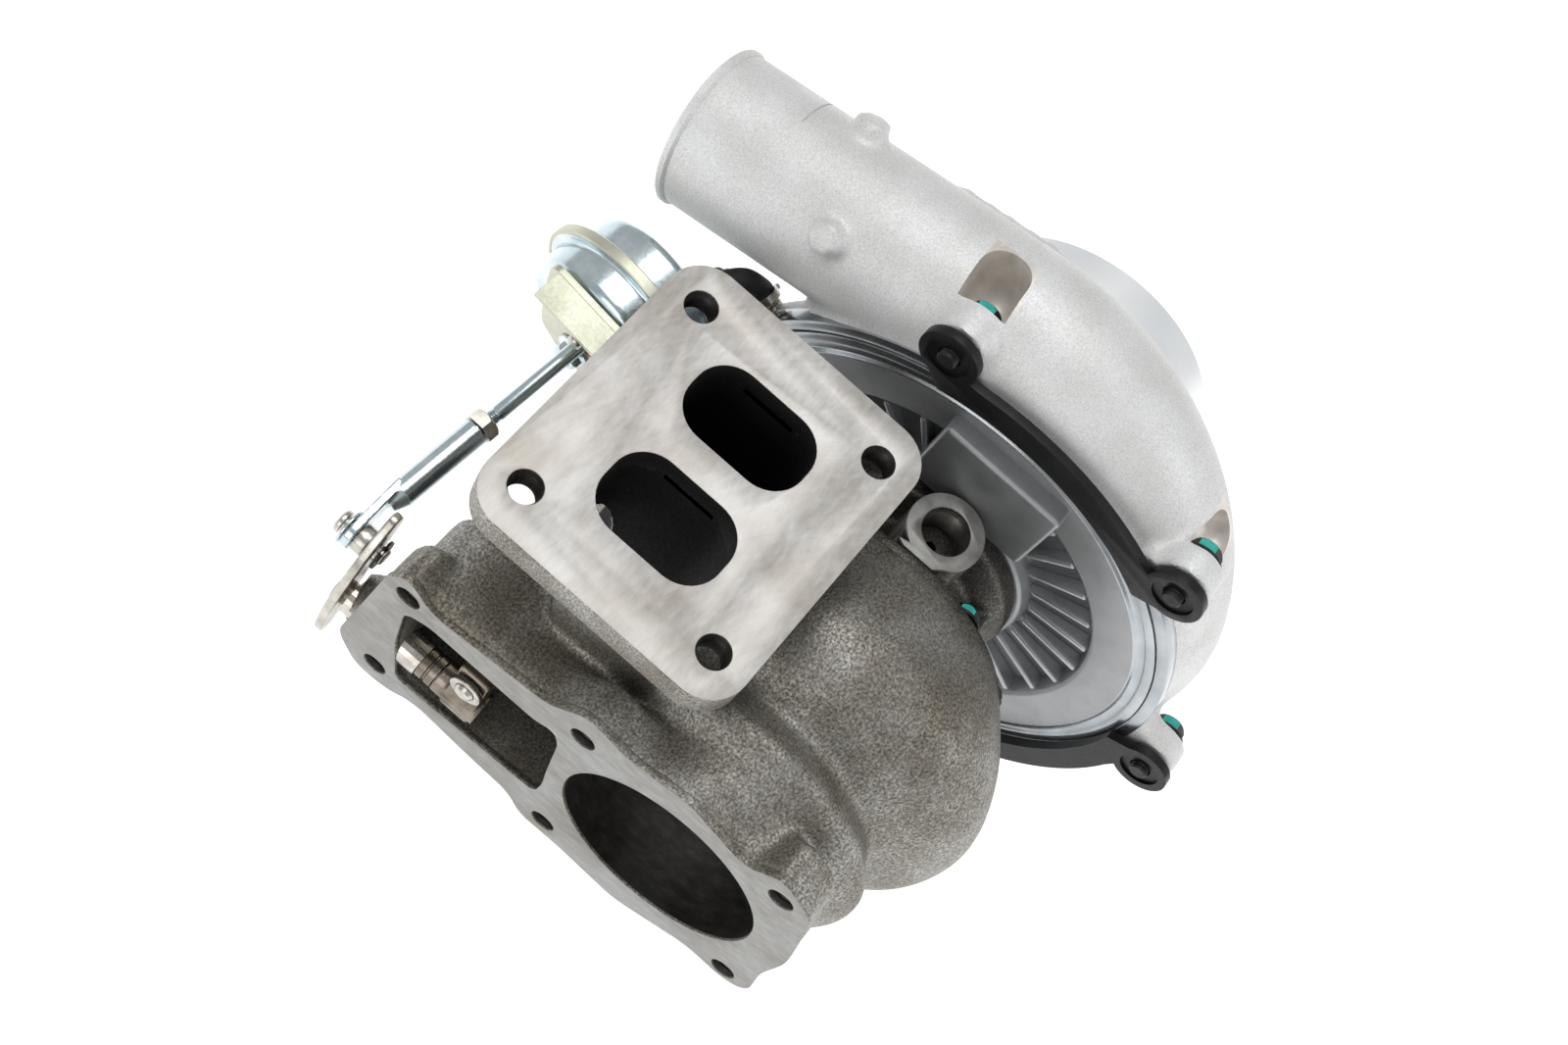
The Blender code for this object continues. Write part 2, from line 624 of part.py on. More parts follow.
turned(
    "oil_flinger",
    [(86.3, 4.05), (86.3, 15), (87.2, 15), (89, 9.2), (93, 9.2), (93, 8.1), (95, 8.1), (95, 9.2),
     (101.4, 9.2), (101.4, 4.05)],
    "bright_steel", 20,
)
turned("turbine_piston_ring", [(21.8, 8.0), (21.8, 9.35), (23.2, 9.35), (23.2, 8.0)], "spring_steel", 24)
turned("compressor_piston_ring", [(93.2, 8.5), (93.2, 9.75), (94.8, 9.75), (94.8, 8.5)], "spring_steel", 24)
turned(
    "oil_seal_plate",
    [
        (88, 16), (88, 27.1), (89.4, 27.1), (89.4, 21.4), (100.6, 21.4), (100.6, 10.0), (90.5, 10.0),
        (90.5, 16),
    ],
    "turned_aluminium", 20,
)

# ---- compressor backplate -----------------------------------------------------------------


def make_backplate():
    disc = [
        (BACKPLATE_X, 90), (BACKPLATE_X, 94.5), (BACKPLATE_X + 1.6, 95.5), (BACKPLATE_X + 1.6, 98.5),
        (BACKPLATE_X + 0.4, 99.5), (BACKPLATE_X + 0.4, BACKPLATE_R), (98, BACKPLATE_R), (98, 88),
        (BACKPLATE_FRONT_X, 86), (BACKPLATE_FRONT_X, 21.8), (BACKPLATE_X, 21.8), (BACKPLATE_X, WINDOW_IN),
        (97, WINDOW_IN + 2), (97, WINDOW_OUT - 2), (BACKPLATE_X, WINDOW_OUT),
    ]
    backplate = turned("compressor_backplate", disc, "turned_aluminium", 28)
    for number in range(FIN_COUNT):
        fin = prism(
            f"fin_{number}",
            ((97.5, WINDOW_IN + 1), (93.5, WINDOW_IN), (90.6, WINDOW_OUT), (97.5, WINDOW_OUT)),
            -1.6, 1.6, "Y", "turned_aluminium",
        )
        fin.rotation_euler = (tau * (number + 0.5) / FIN_COUNT, 0, 0)
        fuse(backplate, fin)
    tray = prism("tray", rectangle((-3, 69), (52, 38), 4, 2), 82.0, 97, finish="turned_aluminium")
    fuse(backplate, tray)
    return backplate


make_backplate()
turned(
    "cover_o_ring",
    [(99.2 + 0.9 * cos(tau * k / 6), 89.2 + 0.9 * sin(tau * k / 6)) for k in range(5)], "rubber", 28,
)

# ---- compressor cover ---------------------------------------------------------------------


def cover_section(angle):
    """Centre x, centre radius and tube radius of the compressor scroll at `angle`."""
    tube = 10.0 + (TUBE_R - 10.0) * (angle / 282.4)
    reach = mix(80.0, 90.0, min(angle / 200, 1)) + (TUBE_REACH - 90.0) * ease((angle - 205) / 77.4)
    return TUBE_CENTRE_X - TUBE_R + tube, reach, tube


def cover_scroll(name, thinner, start, overrun, points=12):
    rings = []
    for step in range(12):
        angle = mix(start, 282.4, step / 11)
        x, reach, tube = cover_section(angle)
        rings.append(
            [
                scroll_point(x + (tube - thinner) * sin(tau * k / points),
                             reach + (tube - thinner) * cos(tau * k / points), angle)
                for k in range(points)
            ]
        )
    outwards = scroll_point(0, 1, 282.4)
    along = Vector((0, cos(TUBE_DROP), -sin(TUBE_DROP)))
    foot = outwards * TUBE_REACH + X_AXIS * TUBE_CENTRE_X
    length = (TUBE_END_Y - foot.y) / along.y
    for reach in (length * 0.5, length + overrun):
        centre = foot + along * reach
        radius = TUBE_R - thinner
        rings.append(
            [
                centre + X_AXIS * radius * sin(tau * k / points) + outwards * radius * cos(tau * k / points)
                for k in range(points)
            ]
        )
    return loft(name, rings, "cast_aluminium"), foot + along * length, along


def make_cover():
    cover, tube_end, along = cover_scroll("compressor_cover", 0, 4, 0, 14)
    body = turned(
        "cover_body",
        [
            (COVER_BACK_X, 0), (COVER_BACK_X, COVER_R), (104, COVER_R), (107, 101), (118, 90), (140, 74),
            (156, 67), (162, 62), (163, INTAKE_R), (INTAKE_X, INTAKE_R), (INTAKE_X, 0),
        ],
        "cast_aluminium", 28,
    )
    lip = rod("tube_lip", tube_end - along * 3.5, tube_end + along * 0.2, TUBE_R + 0.8, "cast_aluminium", 16)
    fuse(cover, body, lip, solver="MANIFOLD")
    for pair in CLAMP_ANGLES:
        for angle in pair:
            centre = around(angle, CLAMP_BOLT_R)
            nose = [(CLAMP_BOLT_R + 11 * cos(radians(a)), 11 * sin(radians(a))) for a in range(-75, 76, 30)]
            lug = prism(
                f"lug_{angle}", [(96, 15), (96, -15), *nose], COVER_BACK_X + 0.3, LUG_X, "X", "cast_aluminium"
            )
            lug.rotation_euler = (radians(angle), 0, 0)
            fuse(cover, lug, solver="MANIFOLD")
    for back, lean, radius in TUBE_BOSSES:
        foot = tube_end - along * back
        out = X_AXIS * sin(radians(lean)) + X_AXIS.cross(along) * cos(radians(lean))
        boss = rod(f"boss_{radius}", foot + out * 12, foot + out * 37, radius, "cast_aluminium", 12)
        fuse(cover, boss, solver="MANIFOLD")
    intake = [
        (85, 0), (85, BACKPLATE_R + GAP), (98.4, BACKPLATE_R + GAP), (98.4, 90.7), (101.3, 90.7), (101.3, 86),
        (106.8, 80), (107.4, 58), (111.2, 53.3), (117, 47.4), (126, 41.2), (137, 39.2), (170, 39.4),
        (200, 50), (INTAKE_X + 3, 52.5), (INTAKE_X + 3, 0),
    ]
    cut(cover, turned("intake_bore", intake, "cast_aluminium", 28), solver="MANIFOLD")
    cut(cover, cover_scroll("scroll_hollow", COVER_WALL, 8, 3)[0], solver="MANIFOLD")
    for pair in CLAMP_ANGLES:
        for angle in pair:
            centre = around(angle, CLAMP_BOLT_R)
            ends = centre + X_AXIS * 80, centre + X_AXIS * 112
            cut(cover, rod(f"cover_hole_{angle}", *ends, 4.4, "cast_aluminium", 8), solver="MANIFOLD")
            ends = centre + X_AXIS * LUG_X, centre + X_AXIS * 121
            relief = rod(f"head_relief_{angle}", *ends, 11.6, "cast_aluminium", 12)
            cut(cover, relief, solver="MANIFOLD")
    return cover


make_cover()

# ---- clamp plates and their bolts -----------------------------------------------------------


def clamp_outline(start, end):
    """A bar that follows the backplate's rim and hooks outwards round a bolt at each end."""
    steps = 5
    outline = [around(mix(start + 7.5, end - 7.5, k / steps), 113.5).yz for k in range(steps + 1)]
    for angle, first in ((end, -125), (start, -145)):
        centre = around(angle, CLAMP_BOLT_R)
        outline += [(centre + around(angle + first + turn, CLAMP_END_R)).yz for turn in range(0, 271, 30)]
        if angle == end:
            outline += [around(mix(end + 1, start - 1, k / steps), 102.5).yz for k in range(steps + 1)]
    return outline


def make_clamp_plate(number, start, end):
    band = prism(
        f"clamp_plate_{number}", clamp_outline(start, end), CLAMP_X, CLAMP_X + CLAMP_THICK,
        finish="black_steel",
    )
    for angle in (start, end):
        centre = around(angle, CLAMP_BOLT_R)
        ends = centre + X_AXIS * 80, centre + X_AXIS * (CLAMP_X + 1.2)
        cut(band, rod(f"plate_dish_{angle}", *ends, 8.0, sides=12))
        cut(band, rod(f"plate_hole_{angle}", centre + X_AXIS * 80, centre + X_AXIS * 95, 4.4, sides=8))
    return band


for number, (start, end) in enumerate(CLAMP_ANGLES, 1):
    make_clamp_plate(number, start, end)
for number, angle in enumerate([angle for pair in CLAMP_ANGLES for angle in pair], 1):
    seat = around(angle, CLAMP_BOLT_R, LUG_X + GAP)
    bolt(f"clamp_bolt_{number}", seat, -X_AXIS, 3.9, 20.5, 6.6, 6.0, 8.0)

# ---- wastegate ----------------------------------------------------------------------------

sx, sz = VALVE_SHAFT
SHAFT_LINE_R = 4.9


def make_valve_shaft():
    shaft_rod = rod(
        "wastegate_shaft", (sx, 84, sz), (sx, LEVER_Y + LEVER_THICK + 1.2, sz), SHAFT_LINE_R, "valve_steel",
        pivot=valve_pivot,
    )
    collar = rod("shaft_collar", (sx, 100, sz), (sx, 107, sz), 6.4, "valve_steel", 16, pivot=valve_pivot)
    hub = rod("arm_hub", (sx, 80, sz), (sx, 96, sz), 7.0, "valve_steel", 16, pivot=valve_pivot)
    arm = prism(
        "arm_block",
        rounded(((-71, -24), (-60, -28), (-59.2, 4), (-68.6, 4), (-68.6, -13)), 3, 2), 81.5, 94.5, "Y",
        "valve_steel", pivot=valve_pivot,
    )
    fuse(shaft_rod, collar, hub, arm)
    stem_hole = rod("stem_hole", (-80, 88, VALVE_Z), (-50, 88, VALVE_Z), 4.2, sides=14, pivot=valve_pivot)
    return cut(shaft_rod, stem_hole)


make_valve_shaft()


def valve_rod(name, y, low, high, radius, finish="valve_steel", sides=16):
    """A round piece along X that moves with the valve."""
    return rod(name, (low, y, VALVE_Z), (high, y, VALVE_Z), radius, finish, sides, pivot=valve_pivot)


def double_disc(name, radius, low, high, finish):
    disc = valve_rod(name, VALVE_Y[0], low, high, radius, finish, 20)
    other = valve_rod(f"{name}_b", VALVE_Y[1], low, high, radius, finish, 20)
    bridge = prism(
        f"{name}_bridge", rectangle((88, VALVE_Z), (26, 15), 2, 1), low, high, "X", finish, pivot=valve_pivot
    )
    return fuse(disc, other, bridge)


valve_plate = double_disc("wastegate_valve_plate", 11.5, -54.6, VALVE_SEAT_X - GAP, "valve_steel")
fuse(valve_plate, valve_rod("valve_neck", 88, -58.9, -54, 6.5))
fuse(valve_plate, valve_rod("valve_stem", 88, -72.0, -54, 3.9, sides=14))
washer = valve_rod("valve_washer", 88, -71.6, -69.3, 6.8, "bright_steel", 18)
cut(washer, valve_rod("washer_hole", 88, -80, -60, 4.2, sides=14))
turned(
    "wastegate_bush", [(107.4, 5.05), (107.4, 6.9), (141.6, 6.9), (141.6, 5.05)], "bright_steel", 20,
    (sx, 0, sz), Y_AXIS,
)

LEVER_OUTLINE = (
    (-76.5, -44), (-70, -46), (-58.5, -25), (-48.5, -4), (-42, 10), (-47, 15), (-56, 7.5), (-63.5, -1),
    (-72, -16), (-75, -26),
)
lever = prism(
    "wastegate_lever", rounded(LEVER_OUTLINE, 6, 2), LEVER_Y, LEVER_Y + LEVER_THICK, "Y", "bright_steel",
    pivot=valve_pivot,
)
cut(
    lever,
    rod("lever_shaft_hole", (sx, 140, sz), (sx, 150, sz), SHAFT_LINE_R + 0.2, sides=16, pivot=valve_pivot),
    rod("lever_pin_hole", (PIN[0], 140, PIN[1]), (PIN[0], 150, PIN[1]), 3.7, sides=16, pivot=valve_pivot),
)


def pin_line(name, low, high, radius, finish, pivot, sides=16):
    return rod(name, (PIN[0], low, PIN[1]), (PIN[0], high, PIN[1]), radius, finish, sides, pivot=pivot)


lever_pin = pin_line("lever_pin", 139.6, 161.2, 3.4, "bright_steel", valve_pivot)
fuse(lever_pin, pin_line("pin_head", 158.6, 161.2, 4.6, "bright_steel", valve_pivot))
cut(lever_pin, turned("pin_groove", [(141.0, 2.7), (141.0, 6), (142.4, 6), (142.4, 2.7)], sides=16,
                      at=(PIN[0], 0, PIN[1]), along=Y_AXIS, pivot=valve_pivot))
turned("pin_clip", [(141.15, 2.9), (141.15, 6.2), (142.25, 6.2), (142.25, 2.9)], "black_steel", 16,
       (PIN[0], 0, PIN[1]), Y_AXIS, valve_pivot)
spacer_low, spacer_high = LEVER_Y + LEVER_THICK + GAP, TONGUE_Y - GAP
spacer = [(spacer_low, 3.6), (spacer_low, 5.7), (spacer_high, 5.7), (spacer_high, 3.6)]
turned("pin_spacer", spacer, "bright_steel", 16, (PIN[0], 0, PIN[1]), Y_AXIS, valve_pivot)
turned("pin_washer", [(156.2, 3.6), (156.2, 7.2), (157.2, 7.2), (157.2, 3.6)], "bright_steel", 16,
       (PIN[0], 0, PIN[1]), Y_AXIS, valve_pivot)

# ---- rod ----------------------------------------------------------------------------------

TONGUE = Vector((PIN[0], TONGUE_Y + TONGUE_THICK / 2, PIN[1]))
ROD_LINE = (BRACKET_HOLE - TONGUE).normalized()
ROD_LENGTH = (BRACKET_HOLE - TONGUE).length


def on_rod(distance):
    """A point on the rod's line, measured from the bracket's hole; minus is towards the lever."""
    return BRACKET_HOLE + ROD_LINE * distance


def make_rod_end():
    tube = turned(
        "rod_end",
        [(16, 0), (16, 4.4), (19, 5.4), (57, 5.4), (57, 0)], "zinc_plate", 16, TONGUE, ROD_LINE, pin_pivot,
    )
    outline = [(-6.8 * cos(k * pi / 4), -6.8 * sin(k * pi / 4)) for k in range(5)]
    outline += [(6.2, 14), (5.0, 21), (-5.0, 21), (-6.2, 14)]
    flat_line = Vector((ROD_LINE.x, 0, ROD_LINE.z)).normalized()
    half = TONGUE_THICK / 2
    tongue = plate("tongue", outline, -half, half, TONGUE, Y_AXIS, flat_line, "zinc_plate", pin_pivot)
    fuse(tube, tongue)
    cut(tube, pin_line("tongue_hole", 145, 165, 3.65, "zinc_plate", pin_pivot))
    ends = TONGUE + ROD_LINE * 40, TONGUE + ROD_LINE * 60
    return cut(tube, rod("thread_hole", *ends, ROD_R + 0.25, sides=12, pivot=pin_pivot))


make_rod_end()
nut("lock_nut", TONGUE + ROD_LINE * 57.4, ROD_LINE, ROD_R + 0.25, 6.6, 5.4, pivot=pin_pivot)
rod("actuator_rod", TONGUE + ROD_LINE * 42, on_rod(26.5), ROD_R, "zinc_plate", 12, pivot=pin_pivot)


def canister(name, profile, finish, pivot=rotor_axis, sides=20):
    """A turned piece on the rod's line, with distances measured from the bracket's hole."""
    return turned(name, profile, finish, sides, BRACKET_HOLE, ROD_LINE, pivot)


canister("piston_cup", [(10.5, 3.3), (10.5, 5.5), (16.8, 7), (16.8, 20), (22, 22.5), (22, 23.6), (15.7, 21.2),
                        (15.7, 8), (9.3, 6.6), (9.3, 3.3)], "zinc_plate", pin_pivot, 20)

# ---- actuator -----------------------------------------------------------------------------

canister(
    "actuator_front_shell",
    [(1.7, 8), (1.7, CAN_FRONT_R - 4), (5, CAN_FRONT_R), (CAN_RIM_S - 2, CAN_FRONT_R),
     (CAN_RIM_S - 2, CAN_RIM_R), (CAN_RIM_S - 0.8, CAN_RIM_R), (CAN_RIM_S - 0.8, CAN_FRONT_R - 1.2),
     (5.4, CAN_FRONT_R - 1.2), (2.9, CAN_FRONT_R - 4.6), (2.9, 8)],
    "zinc_plate",
)
canister(
    "actuator_rear_shell",
    [(CAN_RIM_S + 1.2, CAN_RIM_R), (CAN_RIM_S + 2.4, CAN_RIM_R), (CAN_RIM_S + 2.4, CAN_REAR_R + 2),
     (CAN_RIM_S + 4, CAN_REAR_R), (CAN_END_S - 5, CAN_REAR_R), (CAN_END_S, CAN_REAR_R - 6), (CAN_END_S, 3.1),
     (CAN_END_S - 1.2, 3.1), (CAN_END_S - 1.2, CAN_REAR_R - 6.6), (CAN_END_S - 5.4, CAN_REAR_R - 1.2),
     (CAN_RIM_S + 3.4, CAN_REAR_R - 1.2), (CAN_RIM_S + 1.2, CAN_REAR_R + 0.4)],
    "zinc_plate",
)
canister(
    "diaphragm",
    [(CAN_RIM_S - 0.4, CAN_RIM_R - 0.5), (CAN_RIM_S + 0.8, CAN_RIM_R - 0.5), (CAN_RIM_S + 0.8, 29.4),
     (CAN_RIM_S + 6, 27.6), (CAN_RIM_S + 7.4, 25), (CAN_RIM_S + 7.4, 4), (CAN_RIM_S + 6.2, 4),
     (CAN_RIM_S + 6.2, 25), (CAN_RIM_S + 5, 26.4), (CAN_RIM_S - 0.4, 28.4)],
    "rubber",
)


def make_spring():
    """Conical compression spring, whose coils nest inside one another when it is pressed flat."""
    turns, wire, sides = 2.8, 1.2, 5
    side = ROD_LINE.cross(Z_AXIS).normalized()
    up = side.cross(ROD_LINE)
    rings = []
    count = round(turns * 12)
    for k in range(count + 1):
        turn = tau * k / 12
        out = side * cos(turn) + up * sin(turn)
        centre = BRACKET_HOLE + out * mix(19.0, 10.5, k / count) + ROD_LINE * mix(4.5, 14.1, k / count)
        section = [tau * j / sides for j in range(sides)]
        rings.append([centre + (out * cos(a) + ROD_LINE * sin(a)) * wire for a in section])
    return loft("return_spring", rings, "spring_steel")


make_spring()

BRACKET_UP = Z_AXIS
BRACKET_OUTLINE = (
    (-26, 30), (23, 30), (23, 5), (21, -22), (8, -31), (-10, -31), (-24, -50), (-42, -48), (-30, -20),
    (-31, 6), (-30, 22),
)
STUDS = ((-1.0, 16.5), (3.0, -16.5))


def bracket_point(side, up, distance=0.0):
    """A point in the bracket's plane: side is away from the rotor, up is towards Z."""
    across = BRACKET_UP.cross(ROD_LINE).normalized()
    return BRACKET_HOLE + across * side + ROD_LINE.cross(across) * up + ROD_LINE * distance


def make_bracket():
    half = BRACKET_THICK / 2
    bracket = plate(
        "actuator_bracket", rounded(BRACKET_OUTLINE, 7, 3), -half, half, BRACKET_HOLE, ROD_LINE, BRACKET_UP,
        "yellow_zinc",
    )
    tab = ((-22, 27.3), (19, 27.3), (19, 29.6), (-22, 29.6))
    fold = -half - 12, half - 0.2
    fuse(bracket, plate("bracket_tab", tab, *fold, BRACKET_HOLE, ROD_LINE, BRACKET_UP, "yellow_zinc"))
    cut(bracket, rod("bracket_hole", on_rod(-20), on_rod(5), 7.5, sides=20))
    for side, up in STUDS:
        ends = bracket_point(side, up, -5), bracket_point(side, up, 5)
        cut(bracket, rod(f"stud_hole_{up}", *ends, 3.4, sides=12))
    return bracket


make_bracket()
half_plate = BRACKET_THICK / 2
for number, (side, up) in enumerate(STUDS, 1):
    nut(f"bracket_nut_{number}", bracket_point(side, up, -half_plate - GAP), -ROD_LINE, 3.3, 6.0, 5.6, 7.4)
    levels = [(-11.5, 3.0, False), (half_plate - 0.1, 3.0, False)]
    stacked(f"bracket_stud_{number}", [(-11.5, 0.05, False), *levels, (half_plate - 0.1, 0.05, False)],
            "bright_steel", bracket_point(side, up), ROD_LINE)

# ---- boost hose ---------------------------------------------------------------------------

NIPPLE_R = 2.6
HOSE_R = 4.5


def tube_along(name, points, outer, inner, finish, sides=8, steps=2):
    """A hose or pipe skinned round a smooth line through its points, open along its middle."""
    curve = []
    ends = [points[0] * 2 - points[1], *points, points[-1] * 2 - points[-2]]
    for a, b, c, d in zip(ends, ends[1:], ends[2:], ends[3:]):
        for k in range(steps):
            t = k / steps
            curve.append(0.5 * (2 * b + (c - a) * t + (2 * a - 5 * b + 4 * c - d) * t * t
                                + (3 * b - a - 3 * c + d) * t ** 3))
    curve.append(points[-1])
    rings = {outer: [], inner: []}
    side = None
    for k, here in enumerate(curve):
        line = (curve[min(k + 1, len(curve) - 1)] - curve[max(k - 1, 0)]).normalized()
        side = (side - line * side.dot(line)).normalized() if side else line.orthogonal().normalized()
        up = line.cross(side)
        spokes = [side * cos(tau * j / sides) + up * sin(tau * j / sides) for j in range(sides)]
        for radius in rings:
            rings[radius].append([here + spoke * radius for spoke in spokes])
    return loft(name, rings[outer] + rings[inner][::-1], finish, closed=True)


drum_wall = on_rod(33.0) + Vector((0, -0.55, 0.835)).normalized() * (CAN_REAR_R + GAP)
drum_out = Vector((0, -0.55, 0.835)).normalized()
cover_out = around(26, 1.0)
cover_wall = cover_out * (COVER_R + GAP) + X_AXIS * 98
HOSE_POINTS = [
    *(drum_wall + drum_out * rise for rise in (3, 5, 7, 9)), Vector((92.6, 111.5, 57.5)),
    *(cover_wall + cover_out * rise for rise in (9, 7, 5, 3)),
]
tube_along("boost_hose", HOSE_POINTS, HOSE_R, NIPPLE_R + 0.45, "rubber")
for name, foot, out in (("actuator_nipple", drum_wall, drum_out), ("cover_nipple", cover_wall, cover_out)):
    barb = [(0, 1.5), (0, 4.2), (2.0, 4.2), (2.0, NIPPLE_R), (5.8, NIPPLE_R), (5.8, 1.5)]
    turned(name, barb, "bright_steel", 12, foot, out)
for number, (here, there) in enumerate((HOSE_POINTS[:2], HOSE_POINTS[:-3:-1]), 1):
    line = (there - here).normalized()
    band = [(0.4, HOSE_R + 0.3), (0.4, 5.8), (3.6, 5.8), (3.6, HOSE_R + 0.3)]
    turned(f"hose_clamp_{number}", band, "bright_steel", 16, here, line)
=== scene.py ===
# %% [markdown]
# A turbocharger is two pumps on one shaft. Exhaust gas enters the square iron flange, winds round
# the twin-lobed iron scroll and leaves past the round bore. Air enters the plain aluminium spigot
# and leaves by the long sloping tube. The imported model gives every place, so it is loaded first,
# and its box is kept to set the floor under it.

# %% Load the frame
from math import cos, pi, radians, sin, tau

import bpy
from mathutils import Matrix, Vector


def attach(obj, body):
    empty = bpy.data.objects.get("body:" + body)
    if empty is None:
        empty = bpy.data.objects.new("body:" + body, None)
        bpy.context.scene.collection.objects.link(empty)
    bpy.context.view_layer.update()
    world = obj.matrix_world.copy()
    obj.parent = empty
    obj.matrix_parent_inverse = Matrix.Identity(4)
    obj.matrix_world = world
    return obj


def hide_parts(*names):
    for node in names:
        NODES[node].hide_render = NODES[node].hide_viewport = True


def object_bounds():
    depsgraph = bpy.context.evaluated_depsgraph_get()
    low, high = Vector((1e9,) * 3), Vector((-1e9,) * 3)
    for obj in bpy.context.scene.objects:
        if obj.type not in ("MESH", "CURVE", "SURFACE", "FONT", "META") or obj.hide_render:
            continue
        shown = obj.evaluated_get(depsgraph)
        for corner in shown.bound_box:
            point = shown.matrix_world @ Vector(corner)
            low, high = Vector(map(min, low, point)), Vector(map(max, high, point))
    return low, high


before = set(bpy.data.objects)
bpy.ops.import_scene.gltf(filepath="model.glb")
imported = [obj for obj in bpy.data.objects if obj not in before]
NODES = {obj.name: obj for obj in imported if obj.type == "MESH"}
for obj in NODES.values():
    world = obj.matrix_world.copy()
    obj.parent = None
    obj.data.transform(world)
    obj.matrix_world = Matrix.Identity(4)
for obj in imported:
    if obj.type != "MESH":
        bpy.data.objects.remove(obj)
CAD_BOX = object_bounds()

# %% [markdown]
# Everything is drawn in millimetres from the rotor's centre line, as on the workshop drawing of
# such a unit: x along the shaft from turbine to compressor, y and z across it. The frame's origin
# is on the inlet flange, so each place is moved there when it is made.

# %% Drawing helpers
MM = 0.001
INLET_Y, INLET_Z = 72.0, 100.0
X, Y, Z = Vector((1, 0, 0)), Vector((0, 1, 0)), Vector((0, 0, 1))


def spot(x, y, z):
    """A place measured in millimetres from the rotor's axis, as metres in the frame."""
    return Vector((x, y - INLET_Y, z - INLET_Z)) * MM


def around(angle, radius, x=0.0):
    """A place at `angle` degrees from +Y towards +Z about the shaft."""
    return Vector((x, radius * cos(radians(angle)), radius * sin(radians(angle))))


def mix(one, two, t):
    return one + (two - one) * t


def ease(t):
    t = min(max(t, 0.0), 1.0)
    return t * t * (3 - 2 * t)


def axes(at, along, up):
    """A matrix whose z is `along` and whose y is close to `up`, at a rotor place in millimetres."""
    along = Vector(along).normalized()
    side = Vector(up).cross(along).normalized()
    turn = Matrix((side, along.cross(side), along)).transposed().to_4x4()
    return Matrix.Translation(spot(*at)) @ turn


# %% [markdown]
# Each new piece starts from a primitive and is shaped in edit mode. Operators work on whatever is
# selected, and a freshly loaded frame is selected all over, so the helpers clear the selection
# first. A finished piece is settled: its place and turn go into its mesh.

# %% Modelling helpers
def clear():
    if bpy.context.object and bpy.context.object.mode != "OBJECT":
        bpy.ops.object.mode_set(mode="OBJECT")
    bpy.ops.object.select_all(action="DESELECT")


def hold(piece):
    clear()
    piece.select_set(True)
    bpy.context.view_layer.objects.active = piece
    return piece


def settle(piece, place):
    hold(piece)
    piece.matrix_world = place @ piece.matrix_world
    bpy.ops.object.transform_apply(location=True, rotation=True, scale=True)
    return piece


def press(piece, kind, **settings):
    """Add a modifier and apply it."""
    hold(piece)
    step = piece.modifiers.new(kind.lower(), kind)
    for setting, value in settings.items():
        setattr(step, setting, value)
    bpy.ops.object.modifier_apply(modifier=step.name)
    return piece


def carve(piece, *cutters, how="DIFFERENCE", solver="EXACT"):
    for cutter in cutters:
        press(piece, "BOOLEAN", object=cutter, operation=how, solver=solver)
        bpy.data.objects.remove(cutter, do_unlink=True)
    return piece


def edges(piece, width, segments=2, angle=40):
    """Break a piece's sharp edges, as a file or a tumbling drum does."""
    return press(
        piece, "BEVEL", width=width * MM, segments=segments, limit_method="ANGLE",
        angle_limit=radians(angle), harden_normals=False,
    )


def gather(name, *pieces):
    """Join pieces into one object."""
    hold(pieces[0])
    for piece in pieces[1:]:
        piece.select_set(True)
    bpy.ops.object.join()
    pieces[0].name = name
    return pieces[0]


# %% [markdown]
# Three shapes cover nearly all of a machine: something turned on a lathe, something cut from
# plate, and a skin stretched over ribs. The lathe helper extrudes a circle ring by ring, the plate
# helper extrudes an outline, and the skin helper lays a grid over a row of sections.

# %% Lathe, plate and skin
def lathe(name, profile, at=(0, 0, 0), along=X, up=Z, sides=96):
    """Turn (distance along, radius) points in millimetres about a line."""
    clear()
    low, radius = profile[0]
    start = (0, 0, low * MM)
    bpy.ops.mesh.primitive_circle_add(vertices=sides, radius=max(radius, 0.001) * MM, location=start)
    piece = bpy.context.object
    piece.name = name
    bpy.ops.object.transform_apply(location=True)
    bpy.ops.object.mode_set(mode="EDIT")
    closed = min(r for _, r in profile) > 0
    for height, wide in profile[1:] + (profile[:1] if closed else []):
        bpy.ops.mesh.extrude_edges_move(TRANSFORM_OT_translate={"value": (0, 0, (height - low) * MM)})
        grow = max(wide, 0.001) / max(radius, 0.001)
        bpy.ops.transform.resize(value=(grow, grow, 1), center_override=(0, 0, 0))
        low, radius = height, wide
    bpy.ops.mesh.select_all(action="SELECT")
    bpy.ops.mesh.remove_doubles(threshold=0.00001)
    bpy.ops.mesh.normals_make_consistent(inside=False)
    return settle(piece, axes(at, along, up))


def slab(name, outline, low, high, at=(0, 0, 0), along=Z, up=Y, round_off=0.0, steps=6):
    """Cut a plate to an outline of (side, up) points in millimetres, from low to high along a line."""
    clear()
    bpy.ops.mesh.primitive_circle_add(vertices=len(outline), radius=0.01, fill_type="NGON")
    piece = bpy.context.object
    piece.name = name
    for corner, (side, rise) in zip(piece.data.vertices, outline):
        corner.co = Vector((side, rise, low)) * MM
    bpy.ops.object.mode_set(mode="EDIT")
    bpy.ops.mesh.select_all(action="SELECT")
    if round_off:
        bpy.ops.mesh.bevel(affect="VERTICES", offset=round_off * MM, segments=steps, clamp_overlap=True)
        bpy.ops.mesh.select_all(action="SELECT")
    bpy.ops.mesh.extrude_region_move(TRANSFORM_OT_translate={"value": (0, 0, (high - low) * MM)})
    bpy.ops.mesh.select_all(action="SELECT")
    bpy.ops.mesh.normals_make_consistent(inside=False)
    return settle(piece, axes(at, along, up))


